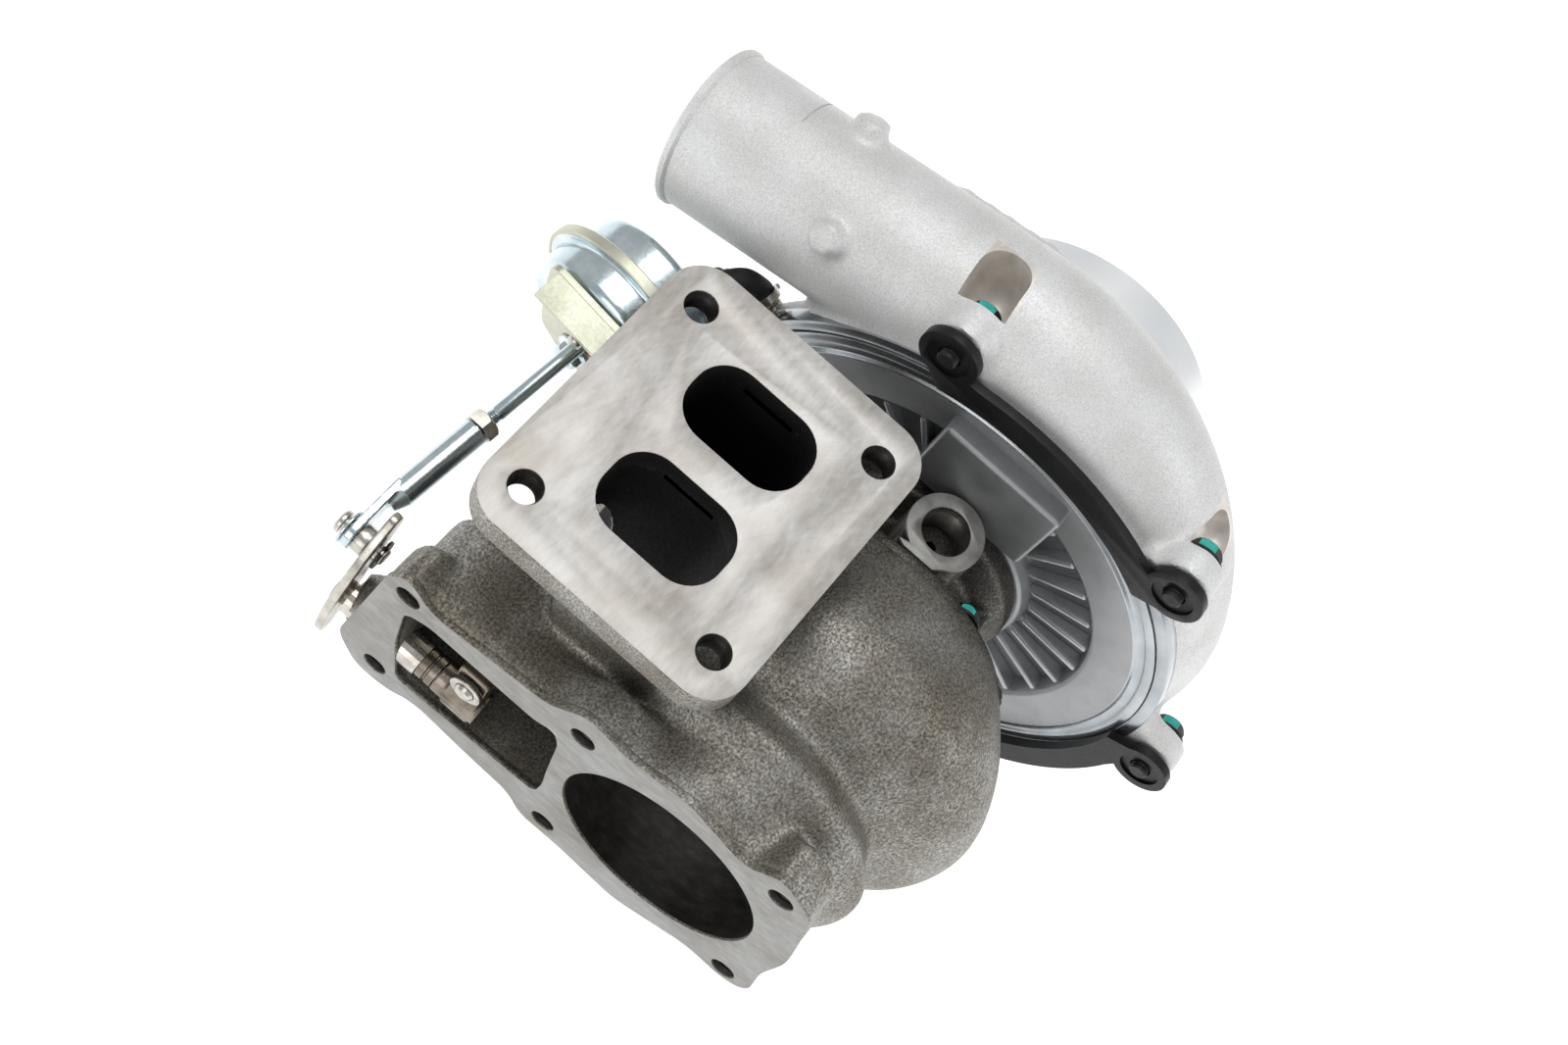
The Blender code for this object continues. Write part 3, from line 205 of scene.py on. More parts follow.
def skin(name, sections):
    """Stretch a grid over closed sections, given as places in millimetres, and close both ends."""
    clear()
    across, down = len(sections[0]), len(sections)
    bpy.ops.mesh.primitive_grid_add(x_subdivisions=across, y_subdivisions=down - 1, size=0.1)
    piece = bpy.context.object
    piece.name = name
    for number, point in enumerate(piece.data.vertices):
        row, column = divmod(number, across + 1)
        point.co = spot(*sections[row][column % across])
    bpy.ops.object.transform_apply(location=True)
    bpy.ops.object.mode_set(mode="EDIT")
    bpy.ops.mesh.select_all(action="SELECT")
    bpy.ops.mesh.remove_doubles(threshold=0.00001)
    bpy.ops.mesh.select_all(action="DESELECT")
    bpy.ops.mesh.select_mode(type="EDGE")
    bpy.ops.mesh.select_non_manifold()
    bpy.ops.mesh.fill_holes(sides=0)
    bpy.ops.mesh.select_all(action="SELECT")
    bpy.ops.mesh.normals_make_consistent(inside=False)
    clear()
    return piece


def bar(name, start, end, radius, sides=48, end_radius=None):
    """A plain round cutter or boss between two places."""
    line = Vector(end) - Vector(start)
    profile = [(0, 0), (0, radius), (line.length, end_radius or radius), (line.length, 0)]
    return lathe(name, profile, start, line, line.orthogonal(), sides)


def rectangle(centre, size, corner, steps=10):
    outline = []
    for quarter, (sx, sy) in enumerate(((1, 1), (-1, 1), (-1, -1), (1, -1))):
        for k in range(steps + 1):
            turn = (quarter + k / steps) * pi / 2
            outline.append((
                centre[0] + sx * (size[0] / 2 - corner) + corner * cos(turn),
                centre[1] + sy * (size[1] / 2 - corner) + corner * sin(turn),
            ))
    return outline


def spline(points, steps):
    """A smooth line through 2-D points."""
    ends = [Vector(points[0]) * 2 - Vector(points[1]), *map(Vector, points)]
    ends.append(Vector(points[-1]) * 2 - Vector(points[-2]))
    curve = []
    for a, b, c, d in zip(ends, ends[1:], ends[2:], ends[3:]):
        for k in range(steps):
            t = k / steps
            bend = (2 * a - 5 * b + 4 * c - d) * t * t + (3 * b - a - 3 * c + d) * t ** 3
            curve.append(0.5 * (2 * b + (c - a) * t + bend))
    return curve + [Vector(points[-1])]


# %% [markdown]
# The finishes come next. Sand leaves iron dark, rough and full of fine pits; milling leaves it
# pale with faint overlapping arcs. Die-cast aluminium is blasted nearly white, and a lathe leaves
# it bright. Each colour is written as sRGB hex, and one function turns it to linear light.

# %% Colour and node helpers
def colour(code):
    values = [int(code[k:k + 2], 16) / 255 for k in (1, 3, 5)]
    return [v / 12.92 if v <= 0.04045 else ((v + 0.055) / 1.055) ** 2.4 for v in values] + [1.0]


def add(tree, kind, settings=None, stops=(), **inputs):
    """Add a node. Each input is a value or another node's output; stops fill a colour ramp."""
    made = tree.nodes.new(kind)
    for setting, value in (settings or {}).items():
        setattr(made, setting, value)
    if stops:
        while len(made.color_ramp.elements) < len(stops):
            made.color_ramp.elements.new(0.5)
        for element, (position, value) in zip(made.color_ramp.elements, stops):
            element.position = position
            element.color = colour(value) if isinstance(value, str) else (value, value, value, 1)
    for socket, value in inputs.items():
        socket = int(socket[1:]) if socket[0] == "_" else socket.replace("_", " ")
        if isinstance(value, bpy.types.NodeSocket):
            tree.links.new(value, made.inputs[socket])
        else:
            made.inputs[socket].default_value = value
    return made


def start_finish(name, metallic):
    made = bpy.data.materials.new(name)
    made.use_nodes = True
    tree = made.node_tree
    shader = tree.nodes["Principled BSDF"]
    shader.inputs["Metallic"].default_value = metallic
    return made, tree, shader, add(tree, "ShaderNodeTexCoord").outputs["Object"]


def plug(tree, shader, **sources):
    """Link finished patterns to the shader's own sockets."""
    for socket, source in sources.items():
        tree.links.new(source, shader.inputs[socket.replace("_", " ")])


NOISE, RAMP, BUMP = "ShaderNodeTexNoise", "ShaderNodeValToRGB", "ShaderNodeBump"
MULTIPLY = {"data_type": "RGBA", "blend_type": "MULTIPLY"}
PER_METRE = 1000
print("colour and node helpers ready")

# %% [markdown]
# Castings: grains of sand print pits about half a millimetre wide. They are drawn at 0.9 mm so
# that they still show, with a second, broader noise for the darker and browner patches where the
# mould was hotter. Aluminium is blasted, so its grain is finer and its tone much more even.

# %% Cast finishes
def cast_finish(name, metallic, grain_mm, depth_mm, tones, rough, strength):
    made, tree, shader, place = start_finish(name, metallic)
    grain = add(tree, NOISE, Vector=place, Scale=PER_METRE / grain_mm, Detail=3.0, Roughness=0.6).outputs["Fac"]
    broad = add(tree, NOISE, Vector=place, Scale=PER_METRE / 26, Detail=3.0, Roughness=0.55).outputs["Fac"]
    speckle = add(tree, RAMP, stops=((0.34, tones[0]), (0.50, tones[1]), (0.68, tones[2])), Fac=grain)
    patches = add(tree, RAMP, stops=((0.35, tones[3]), (0.65, "#FFFFFF")), Fac=broad)
    mixed = add(tree, "ShaderNodeMix", MULTIPLY, _0=1.0, _6=speckle.outputs[0], _7=patches.outputs[0])
    plug(
        tree, shader,
        Base_Color=mixed.outputs[2],
        Roughness=add(tree, RAMP, stops=((0.3, rough[1]), (0.7, rough[0])), Fac=grain).outputs[0],
        Normal=add(tree, BUMP, Height=grain, Distance=depth_mm * MM, Strength=strength).outputs[0],
    )
    return made


# Grey iron poured in sand: pitted, grey to brown, with a dull sparkle where the grains catch light.
sand_cast_iron = cast_finish(
    "sand_cast_grey_iron", 0.75, 0.95, 0.30, ("#6A6863", "#95938D", "#C4C2BA", "#C8C2B9"), (0.38, 0.60), 0.7
)
# Aluminium cast and blasted with fine grit: nearly white, even and matt, soft in its highlights.
blasted_aluminium = cast_finish(
    "blasted_cast_aluminium", 0.35, 0.7, 0.12, ("#D3D4D4", "#E2E3E3", "#EFF0F0", "#F3F2F0"), (0.46, 0.62), 0.3
)
# Finer iron, oiled after casting: darker than the scroll, with small sharp highlights.
core_iron = cast_finish(
    "fine_cast_core_iron", 0.75, 0.7, 0.20, ("#3C3A37", "#5E5C57", "#8C8A84", "#B2AEA6"), (0.32, 0.55), 0.7
)
print("cast finishes: iron, blasted aluminium, core iron")

# %% [markdown]
# Machined faces: a milling cutter leaves shallow arcs, and the iron between them varies a little
# from light to dark. Fine streaks are noise drawn out along one axis; the arcs are noise on the
# distance from a far-off centre. Real tool marks are a tenth of a millimetre apart, too fine to
# show, so the arcs are drawn about two millimetres wide.

# %% Machined finishes
def milled_finish(name, tones, rough, metallic, centre_mm, stretch):
    made, tree, shader, place = start_finish(name, metallic)
    shifted = add(tree, "ShaderNodeMapping", Vector=place, Location=Vector(centre_mm) * MM).outputs["Vector"]
    arcs = add(tree, "ShaderNodeVectorMath", {"operation": "LENGTH"}, _0=shifted).outputs["Value"]
    arcs = add(tree, "ShaderNodeCombineXYZ", X=arcs).outputs["Vector"]
    tracks = add(tree, NOISE, Vector=arcs, Scale=PER_METRE / 2.2, Detail=4.0, Roughness=0.7).outputs["Fac"]
    drawn = add(tree, "ShaderNodeMapping", Vector=place, Scale=stretch).outputs["Vector"]
    streaks = add(tree, NOISE, Vector=drawn, Scale=PER_METRE / 6, Detail=6.0, Roughness=0.7).outputs["Fac"]
    broad = add(tree, NOISE, Vector=place, Scale=PER_METRE / 34, Detail=3.0, Roughness=0.6).outputs["Fac"]
    both = add(tree, "ShaderNodeMix", _0=0.72, _2=tracks, _3=streaks).outputs[0]
    toned = add(tree, RAMP, stops=((0.34, tones[0]), (0.50, tones[1]), (0.66, tones[2])), Fac=both)
    cloud = add(tree, RAMP, stops=((0.35, "#D9D3CB"), (0.60, "#FFFFFF")), Fac=broad)
    mixed = add(tree, "ShaderNodeMix", MULTIPLY, _0=0.8, _6=toned.outputs[0], _7=cloud.outputs[0])
    plug(
        tree, shader,
        Base_Color=mixed.outputs[2],
        Roughness=add(tree, RAMP, stops=((0.3, rough[0]), (0.7, rough[1])), Fac=streaks).outputs[0],
        Normal=add(tree, BUMP, Height=both, Distance=0.02 * MM, Strength=0.35).outputs[0],
    )
    return made


# Iron face-milled for a gasket: pale, with overlapping arcs and streaks that show its flatness.
milled_iron = milled_finish(
    "milled_iron_face", ("#BDBAB5", "#CFCDCA", "#DFDDDB"), (0.40, 0.54), 0.50, (90, 160, 0), (0.8, 2.4, 1.0)
)
# Iron faced on a lathe and left to dull: a darker even grey, with rings about the bore.
faced_iron = milled_finish(
    "faced_iron_outlet", ("#858583", "#999997", "#AFAFAD"), (0.38, 0.52), 0.65, (0, 20, -60), (1.0, 0.8, 2.0)
)
# Iron bored out, then darkened by heat: nearly black, with fine rings that catch a little light.
bored_iron = milled_finish(
    "bored_iron_bore", ("#3B3A38", "#4B4A48", "#5E5D5B"), (0.34, 0.46), 0.80, (0, 0, 0), (2.0, 0.7, 0.7)
)
print("machined finishes: milled, faced and bored iron")

# %% [markdown]
# Turned, plated and drawn parts share one recipe: a base tone, faint cloudiness from handling,
# and a fine line pattern or bloom. Zinc plate is bluish or faintly yellow and shows soft spangle;
# black oxide is an even black with a grey bloom on its edges.

# %% Turned, plated and moulded finishes
def drawn_finish(name, tones, rough, metallic, size_mm=14, fine_mm=0.8, depth_mm=0.02, stretch=(1, 1, 1)):
    made, tree, shader, place = start_finish(name, metallic)
    drawn = add(tree, "ShaderNodeMapping", Vector=place, Scale=stretch).outputs["Vector"]
    broad = add(tree, NOISE, Vector=place, Scale=PER_METRE / size_mm, Detail=3.0, Roughness=0.6).outputs["Fac"]
    fine = add(tree, NOISE, Vector=drawn, Scale=PER_METRE / fine_mm, Detail=2.0, Roughness=0.5).outputs["Fac"]
    plug(
        tree, shader,
        Base_Color=add(tree, RAMP, stops=((0.32, tones[0]), (0.68, tones[1])), Fac=broad).outputs[0],
        Roughness=add(tree, RAMP, stops=((0.3, rough[0]), (0.7, rough[1])), Fac=fine).outputs[0],
        Normal=add(tree, BUMP, Height=fine, Distance=depth_mm * MM, Strength=0.6).outputs[0],
    )
    return made


# Aluminium turned on a lathe: bright and smooth, with a clean soft highlight round the spigot.
turned_aluminium = drawn_finish(
    "turned_aluminium", ("#EDF1F4", "#F8FAFB"), (0.30, 0.36), 0.45, 30, 2.0, 0.002, (4, 1, 1)
)
# Aluminium die-cast in a smooth mould: an even satin grey.
satin_aluminium = drawn_finish(
    "satin_die_cast_aluminium", ("#9A9C9E", "#ABADAF"), (0.40, 0.52), 0.80, 20, 0.6
)
# The same metal on the thin fins, painted a shade paler: painted light on the raised fins, lit more than the
# floor between them.
fin_painted_light = drawn_finish("die_cast_fin_painted_light", ("#B4B6B8", "#CDCFD1"), (0.36, 0.50), 0.78, 12, 0.7)
# Aluminium turned last of all: a narrow mirror-like rim with sharp reflections.
bright_rim = drawn_finish("polished_rim_aluminium", ("#9DA2A6", "#B9BEC2"), (0.14, 0.24), 0.95, 20, 0.6)
# Aluminium cut by a ball-nosed mill: warm and smooth beside the blasted skin.
milled_runout = drawn_finish(
    "milled_runout_aluminium", ("#CFC6BA", "#EFECE8"), (0.30, 0.38), 0.30, 16, 2.0, 0.001, (0.4, 1, 1)
)
# Steel blackened in a hot salt bath: an even black with a soft grey sheen.
black_oxide = drawn_finish("black_oxide_steel", ("#101011", "#1D1D1F"), (0.34, 0.50), 0.40, 9, 0.6)
# Steel bolts with a phosphate coat: charcoal, patchier than black oxide.
black_bolt = drawn_finish("black_phosphate_bolt", ("#1B1B1C", "#353536"), (0.32, 0.52), 0.55, 4, 0.5)
# Steel plated with zinc and passivated clear: bluish, bright and mirror-like.
blue_zinc = drawn_finish("blue_zinc_plate", ("#B4C6CC", "#DCE6EA"), (0.14, 0.26), 0.92, 16, 1.2)
# Zinc passivated yellow, then faded: a greenish cream with a duller shine.
pale_zinc = drawn_finish("pale_yellow_zinc_plate", ("#BDBEA9", "#CFD0BF"), (0.30, 0.42), 0.70, 12, 1.0)
# Steel left as machined: warm grey, with crisp highlights on its edges.
bright_steel = drawn_finish("machined_steel", ("#A9A49B", "#CFCBC4"), (0.18, 0.34), 0.95, 6, 0.5)
# Stainless steel tinted by heat: brown to straw, still shiny.
tinted_steel = drawn_finish("heat_tinted_stainless", ("#5F564A", "#9A9084"), (0.24, 0.40), 0.92, 12, 0.6)
# Nickel alloy cast in a wax-made mould: dark, fine-skinned and dull.
nickel_alloy = drawn_finish("investment_cast_nickel", ("#5A5854", "#7C7A75"), (0.30, 0.48), 0.90, 8, 0.6)
# Bronze bored for a bearing: golden brown and clean.
bronze = drawn_finish("bearing_bronze", ("#9A6E3C", "#B98C55"), (0.22, 0.36), 0.95, 6, 0.5)
# Spring wire hardened in oil: blue-grey with a thin sheen.
spring_wire = drawn_finish("oil_tempered_wire", ("#4A4C50", "#66686C"), (0.28, 0.40), 0.90, 5, 0.5)
# Rubber moulded in a dull mould: black, with broad soft highlights.
black_rubber = drawn_finish("moulded_rubber", ("#141415", "#202021"), (0.60, 0.78), 0.0, 8, 0.5, 0.03)
# Brown seal rubber: matt, with a faint moulded grain.
brown_boot = drawn_finish("brown_seal_rubber", ("#5C3F2C", "#7A5740"), (0.50, 0.66), 0.0, 5, 0.5, 0.03)
# Marking paint dabbed on with a pen: flat teal with a slight gloss.
teal_paint = drawn_finish("teal_inspection_paint", ("#1FA79B", "#35C2B4"), (0.34, 0.50), 0.0, 3, 0.4, 0.02)
# Cast iron deep in the ports, painted near-black and without shine: painted shade for the dark inside of the
# ports.
painted_port_shade = drawn_finish(
    "painted_shade_inside_ports", ("#060606", "#0D0D0C"), (0.65, 0.80), 0.1, 10, 1.0, 0.2
)
print("finishes:", len(bpy.data.materials))


# %% [markdown]
# A finished piece gets its finish, smooth faces up to its real edges, and the body it moves with.
# Where one piece has two finishes, faces are picked by the way they face.

# %% Finishing helpers
def done(piece, finish, body="housing", stands_for=(), smooth=35):
    piece.data.materials.clear()
    piece.data.materials.append(finish)
    hold(piece)
    bpy.ops.object.shade_smooth_by_angle(angle=radians(smooth))
    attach(piece, body)
    if stands_for:
        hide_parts(*([stands_for] if isinstance(stands_for, str) else stands_for))
    print(f"{piece.name}: {len(piece.data.polygons)} faces")
    return piece


def refinish(piece, finish, chosen):
    """Give a second finish to the faces that `chosen` picks by their middle (mm) and normal."""
    piece.data.materials.append(finish)
    number = len(piece.data.materials) - 1
    for face in piece.data.polygons:
        if chosen(face.center / MM + Vector((0, INLET_Y, INLET_Z)), face.normal):
            face.material_index = number
    return piece


def melt(piece, voxel_mm, rounds):
    """Fuse joined shapes into one casting, with small fillets where they meet."""
    press(piece, "REMESH", mode="VOXEL", voxel_size=voxel_mm * MM, adaptivity=0.0)
    return press(piece, "SMOOTH", factor=0.5, iterations=rounds)


# %% [markdown]
# The camera and light. The frame is seen from above the wastegate side with a normal lens. Big
# soft panels and a white surround give the even light of a catalogue picture.

# %% Camera, floor and light
camera = bpy.data.objects.new("camera", bpy.data.cameras.new("camera"))
bpy.context.collection.objects.link(camera)
camera.data.sensor_width = 36.0
camera.data.lens = 51.71
CAMERA_AT = (-347.209, 40.632, 736.63)
TOWARDS_VIEWER = (-0.48428, -0.00357, 0.87491)
UP_THE_PICTURE = (0.65632, 0.65978, 0.36598)
camera.matrix_world = axes(CAMERA_AT, TOWARDS_VIEWER, UP_THE_PICTURE)
bpy.context.scene.camera = camera
bpy.context.scene.view_settings.view_transform = "Standard"

world = bpy.data.worlds.new("surround")
world.use_nodes = True
world.node_tree.nodes["Background"].inputs["Color"].default_value = (1, 1, 1, 1)
world.node_tree.nodes["Background"].inputs["Strength"].default_value = 0.50
bpy.context.scene.world = world

clear()
floor_z = CAD_BOX[0].z - 0.001
bpy.ops.mesh.primitive_plane_add(size=8, location=(0, 0, floor_z))
floor = bpy.context.object
floor.name = "floor"
floor_paint = bpy.data.materials.new("white_sweep")
floor_paint.use_nodes = True
floor_shader = floor_paint.node_tree.nodes["Principled BSDF"]
floor_shader.inputs["Base Color"].default_value = (0.86, 0.86, 0.86, 1)
floor_shader.inputs["Roughness"].default_value = 0.9
floor_shader.inputs["Emission Color"].default_value = (1, 1, 1, 1)
floor_shader.inputs["Emission Strength"].default_value = 0.64
floor.data.materials.append(floor_paint)


def panel(name, place, aim, size, power):
    light = bpy.data.objects.new(name, bpy.data.lights.new(name, "AREA"))
    light.data.shape = "RECTANGLE"
    light.data.size, light.data.size_y = size
    light.data.energy = power
    light.location = place
    light.rotation_euler = (Vector(aim) - Vector(place)).to_track_quat("-Z", "Y").to_euler()
    bpy.context.collection.objects.link(light)


panel("overhead_panel", (0.25, 0.30, 1.5), (0.05, 0, -0.1), (1.2, 1.0), 9.5)
panel("outlet_side_panel", (-1.3, 0.2, 0.5), (0, 0, -0.1), (0.8, 0.9), 4)
panel("front_fill", (0.3, -1.3, 0.6), (0.05, 0, -0.1), (0.9, 0.6), 3)

# %% [markdown]
# The turbine scroll. Gas enters straight down under the flange and then winds round the wheel in
# two lobes, a small one beside the outlet and a big one behind it, while the passage shrinks. One
# section is drawn as a smooth line through its ridge points, and a skin is stretched over many.

# %% Turbine scroll
def scroll_point(x, radius, angle):
    """A place at `angle` degrees from +Y towards -Z, the way the gas turns."""
    return Vector((x, radius * cos(radians(angle)), -radius * sin(radians(angle))))


def scroll_section(angle, blend):
    root, reach = 45.0, 102.6 - 0.1 * angle
    grown = reach - root
    ridges = [
        (mix(-46, -55, blend), mix(root + 0.80 * grown, 54.0, blend)),
        (mix(-24, -41, blend), mix(root + grown, 65.0, blend)),
        (mix(1, -26, blend), mix(root + 0.93 * grown, 57.5, blend)),
        (mix(13, -14, blend), root + mix(0.97, 0.78, blend) * grown),
        (mix(26, 5, blend), root + grown),
        (mix(36, 27, blend), root + mix(0.96, 0.86, blend) * grown),
        (45.7, mix(root + 0.80 * grown, 65.7, blend)),
    ]
    return [Vector((45.7, 41)), Vector((ridges[0][0], 41))] + spline(ridges, 6)


def scroll_skin(name, first, last, inlet=()):
    sections = []
    for z in inlet:
        outline = scroll_section(0, ease(1 - z / 88) * 0.5)
        sections.append([Vector((x, radius, z)) for x, radius in outline])
    for step in range(first, last + 1):
        angle = step * 5
        outline = scroll_section(angle, mix(0.5, 1.0, ease(angle / 90)))
        sections.append([scroll_point(x, radius, angle) for x, radius in outline])
    return skin(name, sections)


def gas_passage(name, port, lobe):
    """The hollow from one port to its tongue; each part is (x, half width, inner, outer)."""
    sections = []
    for z in (101, 92, 80, 68, 56, 44, 32, 20, 10):
        sections.append([Vector((x, y, z)) for x, y in rectangle((port[0], 72), (2 * port[1], 48), 13, 5)])
    for step in range(0, 61):
        angle = step * 5
        blend = ease(angle / 75)
        outer = mix(96, (lobe[3] or 97 - 0.1 * angle), blend)
        inner = mix(48, lobe[2], blend)
        size = (2 * mix(port[1], lobe[1], blend), outer - inner)
        outline = rectangle((mix(port[0], lobe[0], blend), (inner + outer) / 2), size, min(size) * 0.42, 5)
        sections.append([scroll_point(x, radius, angle) for x, radius in outline])
    return skin(name, sections)


OUTLET_OUTLINE = (
    (139, -40), (131, 33), (124, 43), (111, 33), (62, 41), (49, 55.5), (30, 51), (6, 57), (-21, 48),
    (-33, 61), (-49, 51), (-57, 5), (-55, -19), (-58, -41), (-50, -48), (-31, -47), (0, -61),
    (28, -58), (47, -59), (54, -50), (74, -48.5), (102, -45), (113, -53), (128, -54),
)
CHAMBER_BODY = ((44, -47), (100, -46), (128, -47), (136, -38), (129, 30), (122, 39), (62, 40), (44, 44))
CHAMBER = (
    (119.6, 17), (110, 22), (62, 22), (55.4, 26), (51.5, 20), (48.5, -9), (46.8, -20), (47.5, -31),
    (112, -37), (118, -10),
)
OUTLET_BOLTS = ((121, 29.6), (121, -41), (46, 38), (38, -48.6), (-37.4, 46.7), (-46, -40))
TURBINE_BOLT_ANGLES = (20, 118, 160, 242, 290)
SHAFT_XZ = (-65.0, -23.0)


def inset(outline, by):
    """Draw an outline in by about `by` millimetres on every side."""
    middle = sum((Vector(p) for p in outline), Vector((0, 0))) / len(outline)
    return [tuple(Vector(p) - (Vector(p) - middle).normalized() * by) for p in outline]


body = gather(
    "turbine_casting",
    scroll_skin("scroll_first_half", 0, 38, (91, 80, 68, 56, 44, 32, 20, 10)),
    scroll_skin("scroll_second_half", 36, 69),
    lathe("core", [(-60, 30), (-60, 56), (-50, 56.6), (20, 59.6), (45.7, 59.6), (45.7, 30)]),
    slab("outlet_rim", inset(OUTLET_OUTLINE, 0.5), -71.5, -54.5, along=X, up=Z, round_off=7),
    slab("chamber_box", inset(CHAMBER_BODY, 2.5), -68, -34.5, along=X, up=Z, round_off=9),
    bar("shaft_boss", (-59, 120, -23), (-63.8, 140.6, -23), 16.8, end_radius=9.6),
)
melt(body, 1.9, 9)
print("scroll and chamber melted:", len(body.data.polygons), "faces")

# %% [markdown]
# The hollows are cut after the outside is smooth, so their edges stay crisp: the two gas passages,
# the stepped bore for the wheel, the throat that feeds it, the wastegate chamber with its two
# ports, and the drilled holes.

# %% Turbine hollows
carve(
    body,
    gas_passage("near_passage", (-21.6, 16.2), (-39, 10, 47, 59.5)),
    gas_passage("far_passage", (23.5, 15.5), (7, 20, 53, 0)),
    lathe("wheel_bore", [
        (-80, 0), (-80, 41.1), (-46, 41.1), (-41, 36.4), (-22, 36.4), (-16, 41.7), (2, 41.7), (6, 44.5),
        (13, 44.5), (13, 50.3), (60, 50.3), (60, 0),
    ]),
    lathe("throat", [(-14, 40), (0, 40), (5, 54.6), (-35, 54.6)]),
    slab("chamber", CHAMBER, -80, -50, along=X, up=Z, round_off=4),
    bar("shaft_hole", (-65, 100, -23), (-65, 160, -23), 7.2),
    bar("port_1", (-53, 72, -4), (-30, 72, -4), 8.5),
    bar("port_2", (-53, 104, -4), (-42, 104, -4), 8.5),
    bar("port_2_passage", (-43, 103.3, -4), (-28, 83.3, -4), 7.9),
    *(bar(f"tapped_{k}", (-80, y, z), (-58.5, y, z), 4.9, 32) for k, (y, z) in enumerate(OUTLET_BOLTS)),
    *(bar(f"rear_{a}", around(a, 56.6, 34), around(a, 56.6, 60), 3.4, 24) for a in TURBINE_BOLT_ANGLES),
    slab("face_trim", rectangle((40, 0), (270, 200), 2), -95, -71.3, along=X, up=Z),
    solver="MANIFOLD",
)
done(body, sand_cast_iron, stands_for="turbine_housing", smooth=45)
refinish(body, bored_iron, lambda c, n: -71 < c.x < 46 and c.yz.length < 51 and abs(n.x) < 0.9)
VALVE_PORT = Vector((72, -4))
GAS_PORTS = ((-21.6, 32.4), (23.5, 31.0))
bpy.context.view_layer.update()


def in_gas_port(c, n):
    """Whether nothing stands between a face and the middle of one of the gas ports."""
    for middle, _ in GAS_PORTS:
        way = Vector((middle, 72, c.z)) - c
        near = c.z > 3 and way.length < 31 and way.dot(n) > 0
        if near and not body.ray_cast(spot(*(c + n * 0.2)), way, distance=way.length * MM)[0]:
            return True
    return False


# Faces seen from the middle of the gas ports, and those round the valve port, get the near-black finish: painted
# shade inside the ports.
refinish(body, painted_port_shade, in_gas_port)
refinish(body, painted_port_shade, lambda c, n: (
    -52.6 < c.x < -25 and (c.yz - VALVE_PORT).length < 10 and (VALVE_PORT - c.yz).dot(n.yz) > 0))

# %% [markdown]
# The machined flange faces are separate crisp plates laid into the casting. The inlet flange is
# a thick square with two tall round-cornered ports and four tapped holes; the outlet face follows
# the casting's wavy edge round the bore and the chamber.

# %% Flange faces
flange = slab("inlet_flange", rectangle((0, 72), (125.4, 106.9), 15), 88, 100)
for side in (-1, 1):
    for end in (-1, 1):
        x, y = side * 46, 72 + end * 39.1
        carve(flange, bar("stud_drill", (x, y, 80), (x, y, 110), 6.1))
for x, wide in GAS_PORTS:
    carve(flange, slab("port", rectangle((x, 72), (wide, 48), 13.5), 80, 110))
edges(flange, 0.5)
done(flange, sand_cast_iron)
refinish(flange, milled_iron, lambda c, n: n.z > 0.5)
# The walls of the flange's ports get the near-black finish too: painted shade inside the ports.
refinish(flange, painted_port_shade, lambda c, n: abs(n.z) < 0.3 and abs(c.x) < 40 and 47 < c.y < 97)

face = slab("outlet_face", OUTLET_OUTLINE, -72.4, -69.0, along=X, up=Z, round_off=8, steps=8)
carve(
    face, lathe("face_bore", [(-80, 0), (-80, 41.2), (-60, 41.2), (-60, 0)], sides=128),
    slab("face_chamber", CHAMBER, -80, -60, along=X, up=Z, round_off=4),
    *(bar("face_hole", (-80, y, z), (-60, y, z), 5.0) for y, z in OUTLET_BOLTS),
)
edges(face, 0.45)
done(face, sand_cast_iron)
refinish(face, faced_iron, lambda c, n: n.x < -0.5)


def thread(name, at, along, radius, depth, pitch, length):
    """The inside of a tapped hole: a thin sleeve with ridges one pitch apart."""
    profile = [(0, radius)]
    for k in range(int(length / pitch)):
        profile += [(k * pitch + 0.05, radius - 0.05), (k * pitch + pitch / 2, radius - depth)]
    profile += [(length, radius - 0.05), (length, radius)]
    return lathe(name, profile, at, along, Vector(along).orthogonal(), 40)


threads = [
    thread("inlet_thread", (side * 46, 72 + end * 39.1, 88.4), Z, 6.08, 0.75, 1.75, 11.0)
    for side in (-1, 1) for end in (-1, 1)
]
threads += [thread("outlet_thread", (-58.6, y, z), -X, 4.95, 0.6, 1.5, 13.0) for y, z in OUTLET_BOLTS]
done(gather("tapped_threads", *threads), bored_iron)

# %% [markdown]
# The bearing housing sits between the two ends. It is a waisted iron casting with a rib or two,
# a drain pad below and, on top, the oil inlet: a round boss whose ground face runs out into an
# ear, with a fine thread inside.

# %% Bearing housing
core_parts = [
    lathe("waist", [
        (13.8, 9.6), (13.8, 28), (34, 31), (38, 49.6), (46, 49.6), (46, 43), (53, 33), (75, 33), (82, 44.8),
        (89.2, 44.8), (89.2, 27.6), (78, 27.6), (78, 9.6),
    ]),
    bar("oil_boss", (66.5, -1.5, 28.6), (66.5, -1.5, 61.2), 14.8),
    slab("oil_ear", [(51.2, 9), (51.2, -12), (58, -15), (58, 12)], 40, 58, up=Y, round_off=3),
    slab("drain_pad", rectangle((66.5, 0), (20.6, 45.6), 6), -53.8, -20),
]
for angle in (35, 155, 205, 330):
    out = around(angle, 1.0)
    core_parts.append(slab(f"rib_{angle}", [(46, 30), (46, 39.8), (84, 39.8), (84, 30)], -2.8, 2.8,
                           along=X.cross(out), up=out))
core = melt(gather("core_casting", *core_parts), 1.1, 5)
